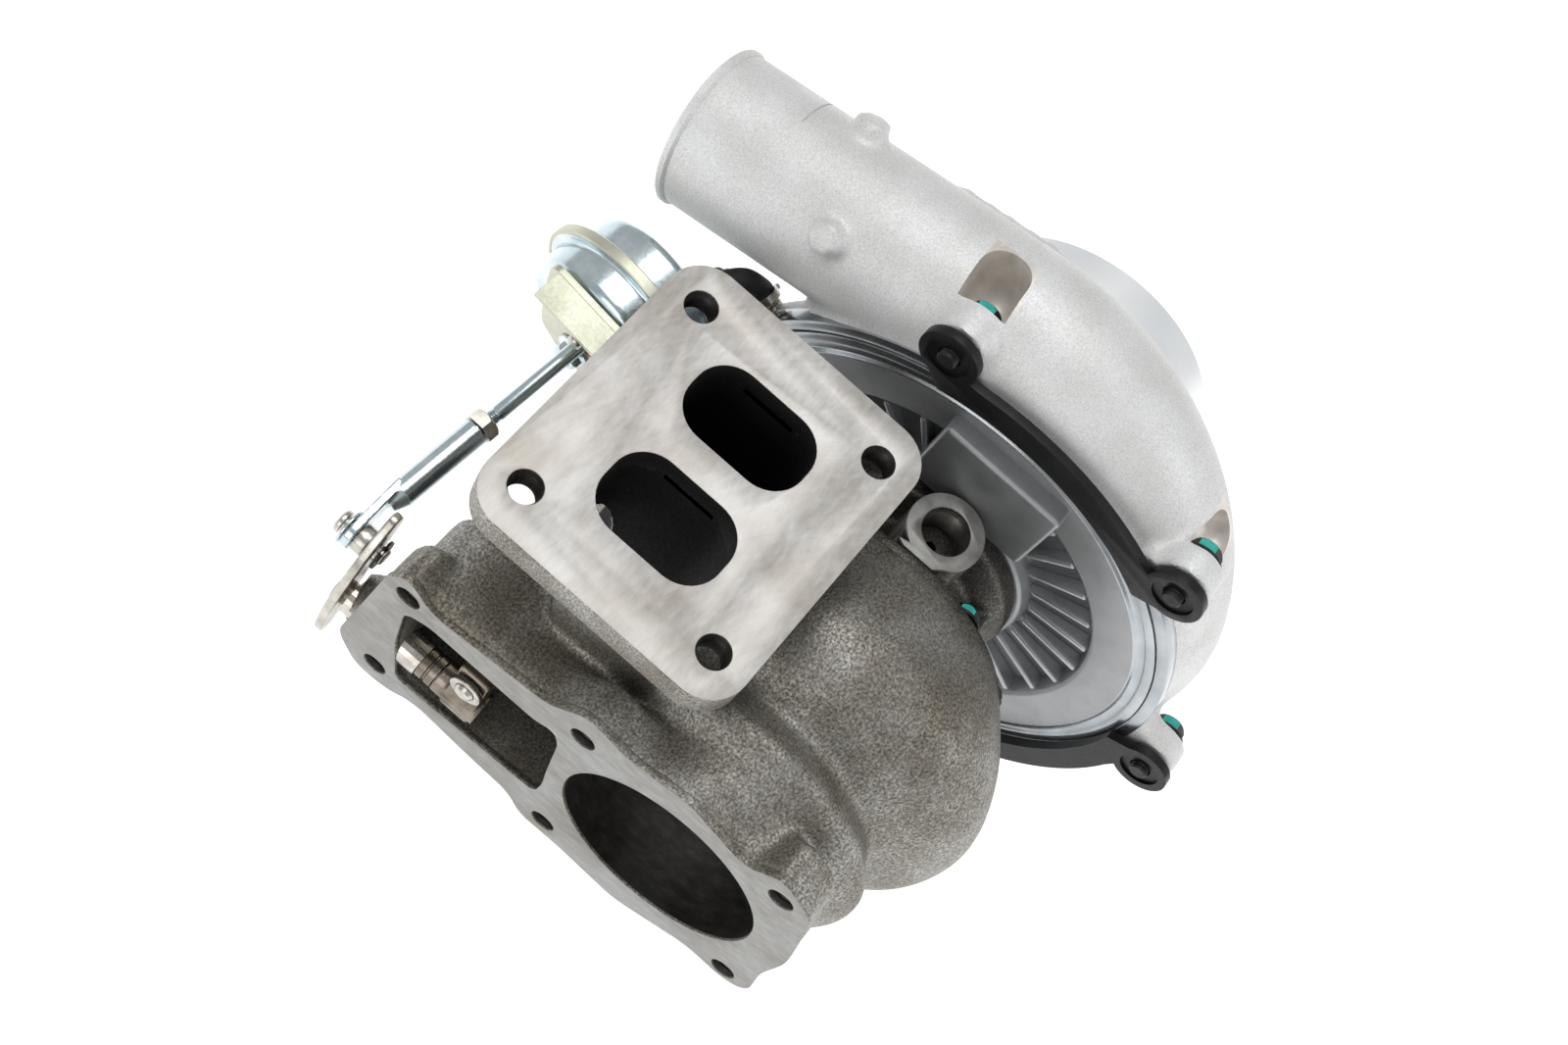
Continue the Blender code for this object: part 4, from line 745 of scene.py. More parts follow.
carve(
    core, bar("oil_drill", (66.5, -1.5, 46), (66.5, -1.5, 80), 9.3),
    bar("oil_gallery", (66.5, -1.5, 10), (66.5, -1.5, 50), 2.5, 24),
    bar("drain_drill", (63.5, 0, -70), (63.5, 0, -12), 8.0),
    lathe("oil_hollow", [(44, 5), (44, 22), (59.6, 22), (59.6, 5)]), solver="MANIFOLD",
)
done(core, core_iron, stands_for="bearing_housing", smooth=45)

boss_face = slab("oil_boss_face", [
    *((66.5 + 14.9 * cos(radians(a)), -1.5 + 14.9 * sin(radians(a))) for a in range(-150, 151, 6)),
    (52.5, 10.4), (50.9, 7), (50.9, -6),
], 60.0, 61.9)
carve(boss_face, bar("boss_bore", (66.5, -1.5, 50), (66.5, -1.5, 70), 9.3, 64))
edges(boss_face, 0.4)
done(boss_face, faced_iron)
done(thread("oil_thread", (66.5, -1.5, 46.4), Z, 9.28, 0.7, 1.5, 14.0), nickel_alloy)

# %% [markdown]
# The backplate closes the compressor. Its outer face is a plain satin disc with a bright stepped
# rim; a ring-shaped window is sunk into it, where cast fins stiffen the thin floor and shed heat.
# A low rectangular tray crosses it above the bearing housing.

# %% Backplate
plate = lathe("backplate_disc", [
    (90.0, 78), (90.0, 94.5), (91.4, 95.5), (91.4, 98.5), (90.2, 99.4), (90.2, 103.1), (98, 103.1),
    (98, 88.2),
    (101, 86), (101, 21.9), (89.9, 21.9), (89.9, 45.5), (91.0, 46.6), (97.2, 48), (97.2, 74), (91.0, 76.6),
], sides=160)
edges(plate, 0.35, 2, 25)
done(plate, satin_aluminium, stands_for="compressor_backplate")
refinish(plate, bright_rim, lambda c, n: c.yz.length > 94.0 and c.x < 97)
fins = []
FIN_COUNT = 30
for number in range(FIN_COUNT):
    out = around(360 * (number + 0.5) / FIN_COUNT, 1.0)
    fin = slab("fin", [(97.4, 47.0), (93.6, 49.2), (90.6, 75.4), (97.4, 76.0)], -1.25, 1.25,
               along=X.cross(out), up=out)
    fins.append(edges(fin, 0.7, 3))
# The fins take the paler copy of the backplate's metal: painted light on the fins.
done(gather("backplate_fins", *fins), fin_painted_light)
tray = slab("backplate_tray", rectangle((-3, 69), (52, 37.6), 2.5), 82.1, 97, along=X, up=Z)
edges(tray, 1.6, 4)
done(tray, satin_aluminium)

# %% [markdown]
# The compressor cover is one aluminium casting: a scroll that grows into a straight sloping tube,
# a cone that carries the intake, six bolt lugs in pairs, and two small bosses on the tube.

# %% Compressor cover
TUBE_R, TUBE_X, TUBE_REACH, TUBE_TURN = 30.8, 123.0, 103.7, 282.4
TUBE_LINE = Vector((0, cos(radians(12.4)), -sin(radians(12.4))))
CLAMP_ANGLES = ((71.5, 127.5), (183.5, 239.5), (295.5, 351.5))
CLAMP_BOLT_R = 120.5
ALL_CLAMP_BOLTS = [angle for pair in CLAMP_ANGLES for angle in pair]
out_of_scroll = scroll_point(0, 1, TUBE_TURN)
tube_foot = out_of_scroll * TUBE_REACH + X * TUBE_X
tube_length = (158.4 - tube_foot.y) / TUBE_LINE.y
tube_end = tube_foot + TUBE_LINE * tube_length


def cover_skin(name, thinner, start, overrun, points=40):
    sections = []
    for step in range(49):
        angle = mix(start, TUBE_TURN, step / 48)
        tube = 10.0 + (TUBE_R - 10.0) * (angle / TUBE_TURN)
        reach = mix(80.0, 90.0, min(angle / 200, 1)) + (TUBE_REACH - 90.0) * ease((angle - 205) / 77.4)
        turns = [tau * k / points for k in range(points)]
        sections.append([
            scroll_point(TUBE_X - 31 + tube + (tube - thinner) * sin(t), reach + (tube - thinner) * cos(t), angle)
            for t in turns
        ])
    for share in (0.2, 0.4, 0.6, 0.8, 1.0):
        centre = tube_foot + TUBE_LINE * ((tube_length + overrun) * share)
        wide = TUBE_R - thinner
        sections.append([centre + (X * sin(t) + out_of_scroll * cos(t)) * wide for t in turns])
    return skin(name, sections)


cover_parts = [
    cover_skin("cover_scroll", 0, 4, 0),
    lathe("cover_cone", [
        (90.9, 60), (90.9, 108.0), (104, 108.0), (107, 101), (118, 90), (140, 74), (156, 67), (162, 62),
        (163, 56.8), (180, 56.8), (180, 40), (100, 40),
    ]),
]
for angle in ALL_CLAMP_BOLTS:
    centre, out = around(angle, CLAMP_BOLT_R), around(angle, 1.0)
    nose = [(11 * cos(radians(a)), 24.5 + 11 * sin(radians(a))) for a in range(-15, 196, 15)]
    cover_parts.append(slab("lug", [(15, 0), *nose, (-15, 0)], 91.2, 104.0, around(angle, 96), X, out))
for back, lean, radius in ((67.8, -53.5, 6.2), (55.0, 30.0, 6.7)):
    foot = tube_end - TUBE_LINE * back
    out = X * sin(radians(lean)) + out_of_scroll * cos(radians(lean))
    cover_parts.append(bar("tube_boss", foot + out * 12, foot + out * 37, radius + 0.8, 32, radius))
cover_parts.append(slab("side_pad", [(16, 2), (33, 2), (33, 54), (16, 54)], 0, 11.5, tube_foot, out_of_scroll,
                        TUBE_LINE, 3))
cover = melt(gather("cover_casting", *cover_parts), 1.9, 7)
print("cover melted:", len(cover.data.polygons), "faces")

# %% [markdown]
# The inside is bored to follow the wheel, the scroll is hollow with a wall of about four and a
# half millimetres, and each bolt lug is spot-faced, so that the bolt's flange sits flat. The milled
# runout beside each lug is one of the brightest marks on the casting.

# %% Cover hollows
def head_room(wide, deep):
    """Ball-nosed cutters that clear each bolt's head, then leave the casting sideways."""
    middle = deep - wide
    nose = [(middle + wide * cos(radians(a)), wide * sin(radians(a))) for a in range(90, -1, -10)]
    cutters = []
    for angle in ALL_CLAMP_BOLTS:
        out, bolt = around(angle, 1.0), around(angle, CLAMP_BOLT_R)
        cutter = [(104.2, 0), (104.2, wide), *nose[:-1], (deep, 0)]
        cutters.append(lathe("head_room", cutter, bolt, X, out, 40))
        sides = [(side, along) for along, side in nose]
        cutters.append(slab("run_out", [
            (-wide, 104.2), (wide, 104.2), *sides, *((-side, along) for side, along in reversed(sides[:-1])),
        ], 0, 30, bolt, out, X))
    return cutters


hollow = cover_skin("scroll_hollow", 4.5, 8, 4)
carve(hollow, *head_room(13.0, 130), solver="MANIFOLD")
crease = [(-36.4, 30.2), (-36.4, 34), (-35.6, 34), (-35.6, 30.2)]
crease = lathe("crease", crease, tube_end, TUBE_LINE, X, 120)
near_side = slab("near_side", rectangle((-30, 10), (58, 60), 1), -40, -30, tube_end, TUBE_LINE, out_of_scroll)
carve(crease, near_side, how="INTERSECT")
carve(
    cover,
    lathe("cover_bore", [
        (80, 0), (80, 103.6), (98.4, 103.6), (98.4, 90.7), (101.3, 90.7), (101.3, 86), (106.8, 80),
        (107.4, 58), (111.2, 53.3), (117, 47.4), (126, 41.2), (137, 39.2), (170, 39.4), (200, 50),
        (214, 52.5), (214, 0),
    ]),
    hollow,
    *(bar("lug_hole", around(a, CLAMP_BOLT_R, 80), around(a, CLAMP_BOLT_R, 112), 4.4, 24)
      for a in ALL_CLAMP_BOLTS),
    *head_room(9.6, 127),
    crease,
    solver="MANIFOLD",
)
done(cover, blasted_aluminium, stands_for="compressor_cover", smooth=45)


def in_run_out(c, n):
    """Whether a face is part of the channel milled beside one of the lugs."""
    for angle in ALL_CLAMP_BOLTS:
        off, out = (c - around(angle, CLAMP_BOLT_R)).yz, around(angle, 1.0).yz
        beside = abs(off.cross(out)) < 9.8 and off.dot(out) > 0
        if 104.0 < c.x < 127.4 and (off.length < 10.0 or beside and off.length < 30):
            return True
    return False


refinish(cover, milled_runout, in_run_out)
rim = lathe("cover_rim", [(90.6, 103.7), (90.6, 108.3), (97.5, 108.3), (97.5, 103.7)], sides=160)
edges(rim, 0.5)
done(rim, bright_rim)
spigot = lathe("intake_spigot", [
    (163.2, 56.5), (163.2, 57.5), (210.2, 57.5), (210.9, 56.8), (210.9, 52.4), (200, 50.2), (170, 39.6),
    (163.2, 39.6),
], sides=160)
done(spigot, turned_aluminium, smooth=30)
lip = lathe("outlet_lip", [
    (-3.6, 26.6), (-3.6, 30.9), (-2.6, 31.7), (-0.8, 31.7), (0.1, 31.0), (0.1, 27.2), (-0.6, 26.6),
], tube_end, TUBE_LINE, X, 120)
done(lip, blasted_aluminium)

# %% [markdown]
# Flange bolts. A hexagon with a rounded-off crown stands on a round washer that is part of it. The
# shank is rolled with a thread, drawn here as ridges. A dab of teal paint marks each as tightened.

# %% Bolts and nuts
def hexagon(name, low, high, radius, at, along, up):
    """A hexagon bar end whose corners are turned off at the top by a lathe cone."""
    piece = lathe(name, [(low, 0), (low, radius), (high, radius), (high, 0)], at, along, up, 6)
    way = 1 if high > low else -1
    cone = lathe("crown", [
        (low - way, 0), (low - way, radius * 1.2), (high - way * 1.4, radius * 1.02), (high, radius * 0.84),
        (high, 0),
    ], at, along, up, 48)
    return carve(piece, cone, how="INTERSECT")


def flange_bolt(name, at, along, sizes):
    """A bolt whose washer sits at `at` and whose shank runs along `along`."""
    shank_r, shank, head_r, head, washer = sizes
    up = along.orthogonal().normalized()
    ridges = [(0.0, shank_r)]
    for k in range(int(shank / 1.25)):
        ridges += [(k * 1.25 + 0.3, shank_r), (k * 1.25 + 0.92, shank_r * 0.88)]
    ridges += [(shank - 0.6, shank_r), (shank, shank_r - 0.7), (shank, 0)]
    skirt = [(-2.0, 0), (-2.0, head_r * 0.9), (-1.0, washer), (0, washer), (0, 0)]
    return gather(
        name, hexagon("head", -1.2, -head, head_r, at, along, up), lathe("washer", skirt, at, along, up, 48),
        lathe("shank", ridges, at, along, up, 32),
    )


def nut(name, at, along, bore, radius, height, washer=0.0):
    up = along.orthogonal().normalized()
    piece = hexagon("hex", 0.0 if not washer else 0.9, height, radius, at, along, up)
    if washer:
        skirt = [(0, 0), (0, washer), (1.0, washer), (1.9, radius * 0.86), (1.9, 0)]
        carve(piece, lathe("skirt", skirt, at, along, up, 48), how="UNION")
    carve(piece, lathe("bore", [(-1, 0), (-1, bore), (height + 1, bore), (height + 1, 0)], at, along, up, 32))
    piece.name = name
    return edges(piece, 0.2, 1)


for number, angle in enumerate(ALL_CLAMP_BOLTS, 1):
    seat = around(angle, CLAMP_BOLT_R, 104.6)
    screw = flange_bolt(f"cover_bolt_{number}", seat, -X, (3.8, 20.4, 6.6, 6.0, 8.0))
    done(screw, black_bolt, stands_for=f"clamp_bolt_{number}")
    refinish(screw, teal_paint, lambda c, n, s=seat: c.x > 105.7 and abs(n.x) < 0.6
             and n.dot(Vector((0, 0.35, 0.93))) > 0.8 and (c.yz - s.yz).length < 7)
for number, angle in enumerate(TURBINE_BOLT_ANGLES, 1):
    seat = around(angle, 56.6, 50.6)
    screw = flange_bolt(f"turbine_screw_{number}", seat, -X, (3.0, 14, 5.4, 4.5, 6.4))
    done(screw, black_bolt, stands_for=f"turbine_bolt_{number}")
    refinish(screw, teal_paint, lambda c, n: c.x > 51.7 and abs(n.x) < 0.6
             and n.dot(Vector((0, 0.5, 0.86))) > 0.86)

# %% [markdown]
# Three black clamp bars grip the backplate's rim. Each follows the rim and hooks out round a bolt
# at either end, where a shallow dish is pressed in round the screw's end.

# %% Clamp bars
def clamp_outline(start, end):
    steps = 20
    outline = [around(mix(start + 7.5, end - 7.5, k / steps), 113.4).yz for k in range(steps + 1)]
    for angle, first in ((end, -125), (start, -145)):
        centre = around(angle, CLAMP_BOLT_R)
        outline += [(centre + around(angle + first + turn, 11.7)).yz for turn in range(0, 271, 10)]
        if angle == end:
            outline += [around(mix(end + 1, start - 1, k / steps), 102.6).yz for k in range(steps + 1)]
    return outline


for number, (start, end) in enumerate(CLAMP_ANGLES, 1):
    strap = slab(f"clamp_bar_{number}", clamp_outline(start, end), 85.6, 89.4, along=X, up=Z)
    for angle in (start, end):
        carve(
            strap, bar("dish", around(angle, CLAMP_BOLT_R, 80), around(angle, CLAMP_BOLT_R, 86.8), 8.2),
            bar("hole", around(angle, CLAMP_BOLT_R, 80), around(angle, CLAMP_BOLT_R, 95), 4.4),
        )
    edges(strap, 0.6, 3)
    done(strap, black_oxide, stands_for=f"clamp_plate_{number}")

# %% [markdown]
# The turbine end is held by two curved strips of steel under small screws, and a thin heat shield
# sits behind the wheel.

# %% Turbine clamps and heat shield
for number, (start, end, held) in enumerate(((6, 172, (20, 118, 160)), (228, 304, (242, 290))), 1):
    turns = [mix(start, end, k / 40) for k in range(41)]
    outline = [around(a, 62.4).yz for a in turns] + [around(a, 45.7).yz for a in reversed(turns)]
    strip = slab(f"turbine_strip_{number}", outline, 46.4, 50.2, along=X, up=Z)
    for angle in held:
        carve(strip, bar("strip_hole", around(angle, 56.6, 40), around(angle, 56.6, 60), 3.4, 32))
    edges(strip, 0.5)
    done(strip, core_iron, stands_for=f"turbine_clamp_{number}")
shield = lathe("wheel_shield", [(10.9, 12.1), (10.9, 34), (12.0, 44), (13.1, 44), (12.1, 34), (12.1, 12.1)])
done(shield, nickel_alloy, stands_for="heat_shield")

# %% [markdown]
# The wastegate. A short arm inside the chamber turns on a steel spindle and lifts a forked pair
# of discs off the two ports. A stem with a riveted oval washer holds the discs to the arm. All of
# it rides on the wastegate body. The arm is an investment casting, so it is melted together.

# %% Wastegate arm, discs and spindle
def mirrored(outline):
    """Outlines drawn as (x, z) and seen along Y have x running the other way."""
    return [(-x, z) for x, z in outline]


arm = gather(
    "wastegate_arm",
    slab("arm_block", mirrored([(-71, -30), (-59.6, -30), (-59.4, 4), (-68.6, 4), (-68.6, -13), (-71, -18)]),
         81.6, 94.4, along=Y, up=Z, round_off=1.6),
    bar("arm_hub", (-65, 80, -23), (-65, 99.6, -23), 6.6),
)
melt(arm, 0.5, 5)
carve(arm, bar("stem_hole", (-80, 88, -4), (-50, 88, -4), 4.2), solver="MANIFOLD")
done(arm, tinted_steel, "wastegate", smooth=50)
spindle = lathe("wastegate_spindle", [
    (94, 0), (94, 4.8), (99.8, 4.8), (100, 6.3), (102.8, 6.3), (103.2, 5.7), (103.8, 5.7), (104.2, 6.3),
    (107, 6.3), (107.2, 4.85), (147.4, 4.85), (148.1, 4.2), (148.1, 0),
], (-65, 0, -23), Y, Z, 64)
done(spindle, tinted_steel, "wastegate", "wastegate_shaft")

fork = gather(
    "valve_fork", *(bar("disc", (-54.6, y, -4), (-50.4, y, -4), 11.4, 96) for y in (72, 104)),
    slab("bridge", rectangle((88, -4), (26, 15), 3), -54.6, -50.4, along=X, up=Z),
    bar("neck", (-58.8, 88, -4), (-54, 88, -4), 6.5),
)
melt(fork, 0.5, 3)
done(fork, bright_steel, "wastegate", "wastegate_valve_plate", 50)
stem = lathe("valve_stem", [(-54, 0), (-54, 3.85), (-71.8, 3.85), (-73.0, 3.0), (-73.4, 1.6), (-73.5, 0)],
             (0, 88, -4), X, Z, 48)
done(stem, bright_steel, "wastegate")
washer = slab("valve_oval_washer", [(6.7 * cos(tau * k / 40), 6.7 * sin(tau * k / 40)) for k in range(40)],
              -71.5, -69.4, at=(0, 88, -4), along=X, up=Z)
carve(washer, bar("washer_hole", (-80, 88, -4), (-60, 88, -4), 3.95))
edges(washer, 0.45)
done(washer, bright_steel, "wastegate", "valve_washer")

# %% [markdown]
# Outside, a stamped lever is welded to the spindle's end. A headed pin joins it to the rod, with
# a spacer and a washer either side of the rod's flat end and a spring clip in the pin's groove.

# %% Lever and pin
LEVER_OUTLINE = (
    (-76.5, -44), (-70, -46), (-58.5, -25), (-48.5, -4), (-42, 10), (-47, 15), (-56, 7.5), (-63.5, -1),
    (-72, -16), (-75, -26),
)
PIN_X, PIN_Z = -54.5, -1.5
lever = slab("stamped_lever", mirrored(LEVER_OUTLINE), 143.5, 146.9, along=Y, up=Z, round_off=6)
carve(lever, bar("shaft_eye", (-65, 140, -23), (-65, 150, -23), 4.95),
      bar("pin_eye", (PIN_X, 140, PIN_Z), (PIN_X, 150, PIN_Z), 3.5))
edges(lever, 0.6, 3)
done(lever, bright_steel, "wastegate", "wastegate_lever")
weld = lathe("spindle_weld", [(146.8, 4.6), (146.8, 6.4), (147.4, 6.1), (147.9, 5.0), (147.9, 4.6)],
             (-65, 0, -23), Y, Z, 64)
done(weld, tinted_steel, "wastegate")


def on_pin(name, profile, finish, stands_for):
    piece = lathe(name, profile, (PIN_X, 0, PIN_Z), Y, Z, 56)
    edges(piece, 0.25)
    return done(piece, finish, "wastegate", stands_for)


on_pin("headed_pin", [
    (139.7, 0), (139.7, 2.7), (140.3, 3.4), (141.0, 3.4), (141.0, 2.7), (142.4, 2.7), (142.4, 3.4),
    (158.6, 3.4), (158.6, 4.6), (160.2, 4.6), (161.0, 3.6), (161.1, 0),
], bright_steel, "lever_pin")
clip = [(141.2, 2.9), (141.2, 6.1), (142.2, 6.1), (142.2, 2.9)]
clip = lathe("spring_clip", clip, (PIN_X, 0, PIN_Z), Y, Z, 56)
carve(clip, slab("clip_gap", [(-1.6, 0), (1.6, 0), (2.4, 9), (-2.4, 9)], 138, 145, (PIN_X, 0, PIN_Z), Y, Z))
edges(clip, 0.2, 1)
done(clip, black_oxide, "wastegate", "pin_clip")
on_pin("spacer_bush", [(147.3, 3.6), (147.3, 5.6), (151.9, 5.6), (151.9, 3.6)], bright_steel, "pin_spacer")
on_pin("flat_washer", [(156.2, 3.6), (156.2, 7.1), (157.2, 7.1), (157.2, 3.6)], blue_zinc, "pin_washer")

# %% [markdown]
# The rod. A tube is pressed flat at one end to make the eye, and the rod is screwed into the other
# and locked with a nut, which sets the boost pressure. Flattening a tube leaves a soft taper, so
# the two shapes are melted together before the holes are drilled.

# %% Rod, eye and lock nut
TONGUE = Vector((PIN_X, 154.0, PIN_Z))
BRACKET_HOLE = Vector((55.0, 142.0, 16.9))
ROD_LINE = (BRACKET_HOLE - TONGUE).normalized()
ROD_LENGTH = (BRACKET_HOLE - TONGUE).length
FLAT_LINE = Vector((ROD_LINE.x, 0, ROD_LINE.z)).normalized()


def on_rod(distance):
    """A place on the rod's line, measured from the bracket's hole."""
    return BRACKET_HOLE + ROD_LINE * distance


def rod_lathe(name, profile, start=BRACKET_HOLE, sides=96):
    return lathe(name, profile, start, ROD_LINE, Z, sides)


eye_outline = [(-6.7 * cos(pi * k / 16), -6.7 * sin(pi * k / 16)) for k in range(17)]
eye_outline += [(6.6, 8), (5.6, 18), (4.6, 24), (-4.6, 24), (-5.6, 18), (-6.6, 8)]
eye = gather(
    "rod_eye", rod_lathe("eye_tube", [(15, 0), (15, 3.2), (21, 5.3), (57, 5.3), (57, 0)], TONGUE, 64),
    slab("eye_tongue", eye_outline, -1.75, 1.75, TONGUE, Y, FLAT_LINE),
)
melt(eye, 0.42, 4)
carve(eye, bar("eye_hole", (PIN_X, 145, PIN_Z), (PIN_X, 165, PIN_Z), 3.65),
      rod_lathe("eye_thread", [(40, 0), (40, 3.2), (60, 3.2), (60, 0)], TONGUE, 32), solver="MANIFOLD")
done(eye, blue_zinc, "actuator_rod", "rod_end", 50)
lock = nut("hex_lock_nut", TONGUE + ROD_LINE * 57.4, ROD_LINE, 3.2, 6.6, 5.3)
done(lock, bright_steel, "actuator_rod", "lock_nut")
rod_ridges = [(42, 0), (42, 2.5)]
for k in range(24):
    rod_ridges += [(42.6 + k, 3.0), (43.1 + k, 2.55)]
rod_piece = rod_lathe("plated_rod", rod_ridges + [
    (67, 3.0), (ROD_LENGTH + 26.0, 3.0), (ROD_LENGTH + 26.5, 2.5), (ROD_LENGTH + 26.5, 0),
], TONGUE, 48)
done(rod_piece, blue_zinc, "actuator_rod", "actuator_rod")
cup = rod_lathe("pressed_piston_cup", [
    (10.5, 3.3), (10.5, 5.5), (16.8, 7), (16.8, 20), (22, 22.5), (22, 23.6), (15.7, 21.2), (15.7, 8),
    (9.3, 6.6),
    (9.3, 3.3),
])
done(cup, blue_zinc, "actuator_rod", "piston_cup")

# %% [markdown]
# The actuator is two pressed steel cups clamped round a rubber diaphragm. Pressing rounds every
# corner, so the profiles are rounded too. A narrow gold-coloured band is rolled over both rims.

# %% Actuator cups
def arc(centre, radius, first, last, steps=5):
    """Profile points along a quarter-round corner, as (distance, radius)."""
    return [
        (centre[0] + radius * cos(radians(mix(first, last, k / steps))),
         centre[1] + radius * sin(radians(mix(first, last, k / steps)))) for k in range(steps + 1)
    ]


front_cup = rod_lathe("actuator_front_cup", [
    (1.8, 8), *arc((6.0, 28.3), 4.2, 180, 90), (13.6, 32.5), *arc((13.6, 33.9), 1.4, 270, 360), (15.1, 36.6),
    (16.1, 36.6), (16.1, 31.4), (6.0, 31.3), *arc((6.0, 28.3), 3.0, 90, 180), (3.0, 8),
], sides=128)
done(front_cup, blue_zinc, stands_for="actuator_front_shell")
rear_cup = rod_lathe("actuator_rear_cup", [
    (18.2, 30.5), (18.2, 36.6), (19.2, 36.6), (19.3, 32.6), *arc((21.6, 32.3), 2.3, 180, 270), (31.6, 30.0),
    *arc((31.6, 25.8), 4.2, 90, 30), (37.6, 21.0), (38.0, 19.4), (38.0, 7.0),
    (37.0, 6.0), (37.0, 3.1), (36.0, 3.1), (36.0, 6.6), (36.8, 7.6), (36.8, 19.0), (36.4, 20.4), (33.8, 25.6),
    (31.6, 28.8), (20.5, 28.8), (18.2, 30.4),
], sides=128)
done(rear_cup, blue_zinc, stands_for="actuator_rear_shell")
band = rod_lathe("rim_band", [
    (14.9, 36.0), (14.9, 37.0), (15.4, 37.45), (19.0, 37.45), (19.5, 37.0), (19.5, 36.0), (19.3, 36.0),
    (19.3, 36.9), (15.1, 36.9), (15.1, 36.0),
], sides=128)
done(band, pale_zinc)

# %% [markdown]
# The bracket is one pressed plate with its top edge folded over. It is yellow-plated and carries
# the actuator on two studs with flange nuts; a brown rubber boot fills the rod's hole.

# %% Bracket, studs and nuts
BRACKET_OUTLINE = (
    (-26, 30), (23, 30), (23, 5), (21, -22), (8, -31), (-10, -31), (-24, -50), (-42, -48), (-30, -20),
    (-31, 6), (-30, 22),
)
STUDS = ((-1.0, 16.5), (3.0, -16.5))


def on_bracket(side, up, distance=0.0):
    """A place in the bracket's plane."""
    across = Z.cross(ROD_LINE).normalized()
    return BRACKET_HOLE + across * side + ROD_LINE.cross(across) * up + ROD_LINE * distance


bracket = slab("folded_bracket", BRACKET_OUTLINE, -1.3, 1.3, BRACKET_HOLE, ROD_LINE, Z, 7, 8)
fold = [(-22, 27.3), (19, 27.3), (19, 29.6), (-22, 29.6)]
fold = slab("bracket_fold", fold, -13.2, 1.2, BRACKET_HOLE, ROD_LINE, Z)
carve(bracket, fold, how="UNION")
carve(
    bracket, rod_lathe("boot_hole", [(-20, 0), (-20, 7.5), (5, 7.5), (5, 0)]),
    *(bar("stud_hole", on_bracket(*stud, -5), on_bracket(*stud, 5), 3.4, 32) for stud in STUDS),
)
edges(bracket, 0.7, 3)
done(bracket, pale_zinc, stands_for="actuator_bracket")
for number, stud in enumerate(STUDS, 1):
    ridges = [(-11.5, 0), (-11.5, 2.4)]
    for k in range(10):
        ridges += [(-10.9 + k, 3.0), (-10.4 + k, 2.5)]
    profile = ridges + [(-0.9, 3.0), (1.2, 3.0), (1.2, 0)]
    post = lathe(f"stud_{number}", profile, on_bracket(*stud), ROD_LINE, Z, 32)
    done(post, bright_steel, stands_for=f"bracket_stud_{number}")
    holder = nut(f"flange_nut_{number}", on_bracket(*stud, -1.6), -ROD_LINE, 3.2, 6.0, 5.6, 7.4)
    done(holder, blue_zinc, stands_for=f"bracket_nut_{number}")
boot = rod_lathe("rod_boot", [
    (-3.6, 4.6), (-3.6, 5.6), (-2.6, 6.9), (-1.6, 6.9), (-1.0, 6.2), (1.5, 6.2), (1.5, 4.6),
], sides=64)
edges(boot, 0.3)
done(boot, brown_boot)

# %% [markdown]
# Boost pressure reaches the actuator through a short rubber hose, pushed over two barbed nipples
# and held by spring bands. The hose is a skin over a smooth line, with its bore carved out.

# %% Boost hose
def tube_sections(curve, radius, sides=24):
    sections, side = [], None
    for k, here in enumerate(curve):
        line = (curve[min(k + 1, len(curve) - 1)] - curve[max(k - 1, 0)]).normalized()
        side = (side - line * side.dot(line)).normalized() if side else line.orthogonal().normalized()
        up = line.cross(side)
        turns = [tau * j / sides for j in range(sides)]
        sections.append([here + (side * cos(t) + up * sin(t)) * radius for t in turns])
    return sections


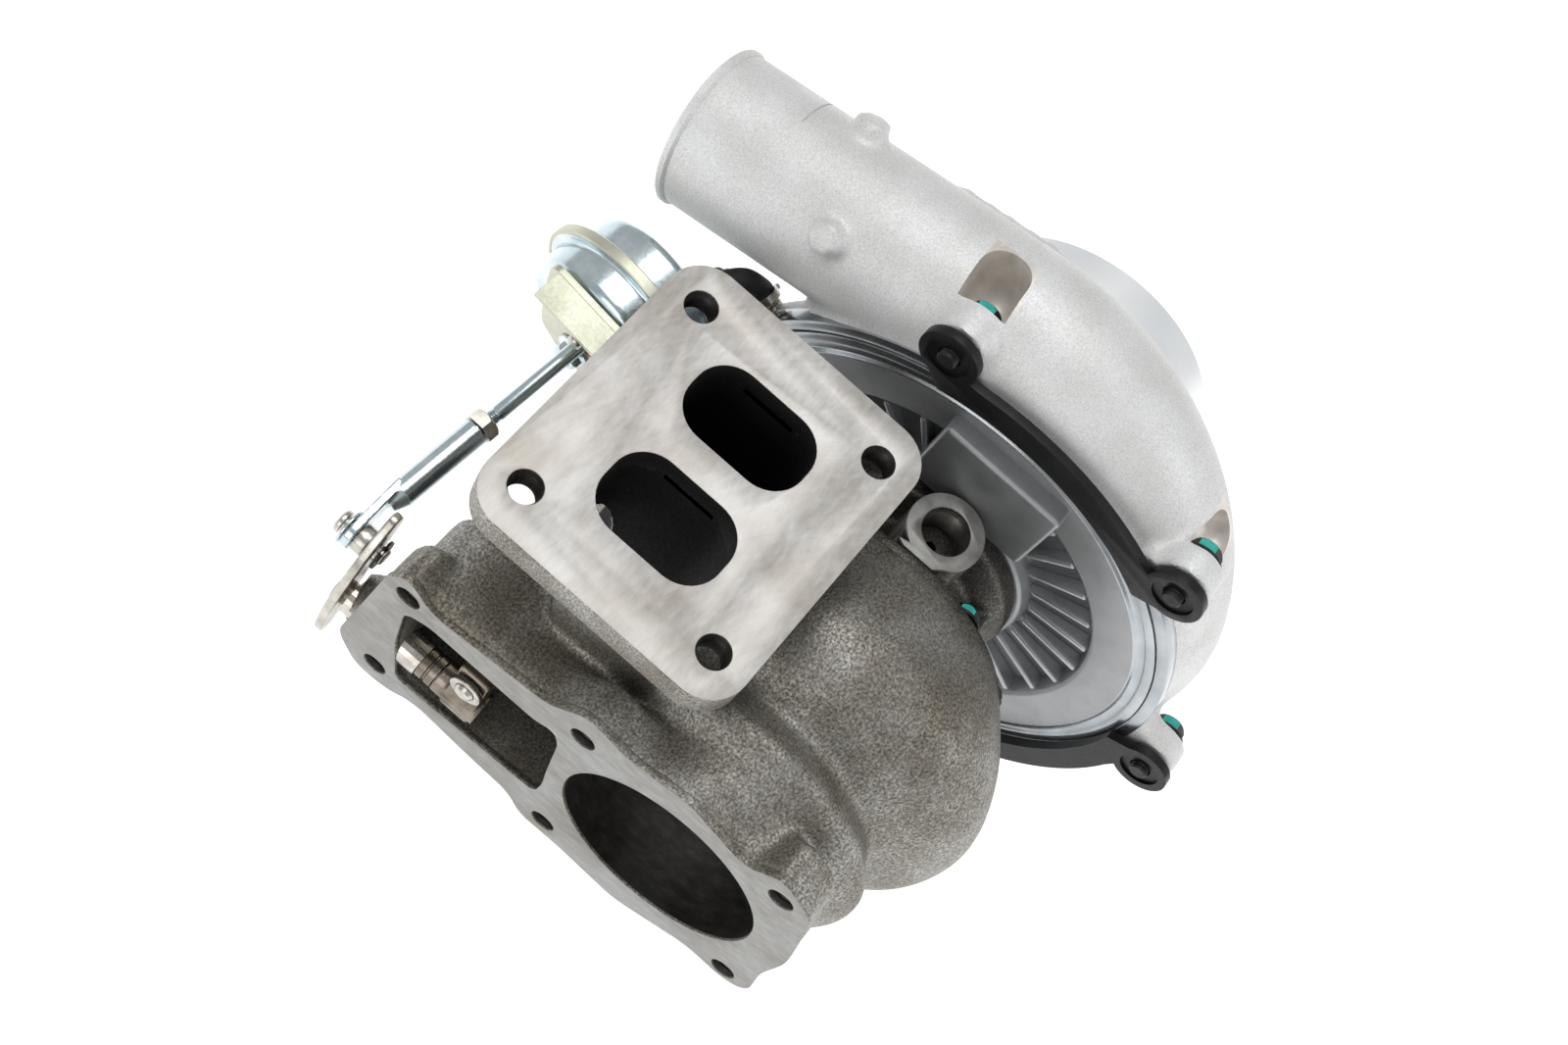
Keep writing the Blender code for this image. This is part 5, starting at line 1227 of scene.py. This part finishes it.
drum_out = Vector((0, -0.55, 0.835)).normalized()
drum_wall = on_rod(33.0) + drum_out * 30.3
cover_out = around(26, 1.0)
cover_wall = cover_out * 108.7 + X * 98
hose_ends = (drum_wall, drum_out), (cover_wall, cover_out)
hose_curve = spline([
    *(drum_wall + drum_out * rise for rise in (3, 5, 7, 9)), Vector((92.6, 111.5, 57.5)),
    *(cover_wall + cover_out * rise for rise in (9, 7, 5, 3)),
], 6)
hose = skin("pressure_hose", tube_sections(hose_curve, 4.45))
bore_curve = [hose_curve[0] * 2 - hose_curve[1], *hose_curve, hose_curve[-1] * 2 - hose_curve[-2]]
carve(hose, skin("hose_bore", tube_sections(bore_curve, 3.05)), solver="MANIFOLD")
done(hose, black_rubber, stands_for="boost_hose", smooth=60)
for number, (foot, out) in enumerate(hose_ends, 1):
    barb = lathe("barb", [
        (0, 1.5), (0, 4.0), (0.4, 4.2), (1.7, 4.2), (2.0, 3.9), (2.0, 2.5), (4.2, 2.5), (4.3, 2.9),
        (5.8, 2.2), (5.8, 1.5),
    ], foot, out, X, 40)
    barb.name = f"nipple_{number}"
    done(barb, bright_steel, stands_for=("actuator_nipple", "cover_nipple")[number - 1])
    ring = lathe(f"spring_band_{number}", [(3.4, 4.6), (3.4, 5.5), (6.6, 5.5), (6.6, 4.6)], foot, out, X, 48)
    ear = slab("band_ear", [(-1.2, 4.9), (1.2, 4.9), (0.9, 7.6), (-0.9, 7.6)], 3.9, 6.1, foot, out, X)
    ring = gather(f"spring_band_{number}", ring, ear)
    edges(ring, 0.2, 1)
    done(ring, bright_steel, stands_for=f"hose_clamp_{number}")

# %% [markdown]
# The pieces inside, and the wheels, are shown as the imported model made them, each with the finish
# of its own material.

# %% Inner pieces
INNER = {
    nickel_alloy: ("shaft_and_turbine_wheel",),
    turned_aluminium: ("compressor_wheel", "oil_seal_plate"),
    bronze: ("turbine_journal_bush", "compressor_journal_bush", "thrust_bearing"),
    bright_steel: ("compressor_nut", "thrust_collar", "oil_flinger", "wastegate_bush"),
    spring_wire: ("turbine_piston_ring", "compressor_piston_ring", "return_spring"),
    black_rubber: ("diaphragm", "cover_o_ring"),
}
for finish, names in INNER.items():
    for name in names:
        NODES[name].data.materials.clear()
        NODES[name].data.materials.append(finish)

# %% Clear the selection
clear()
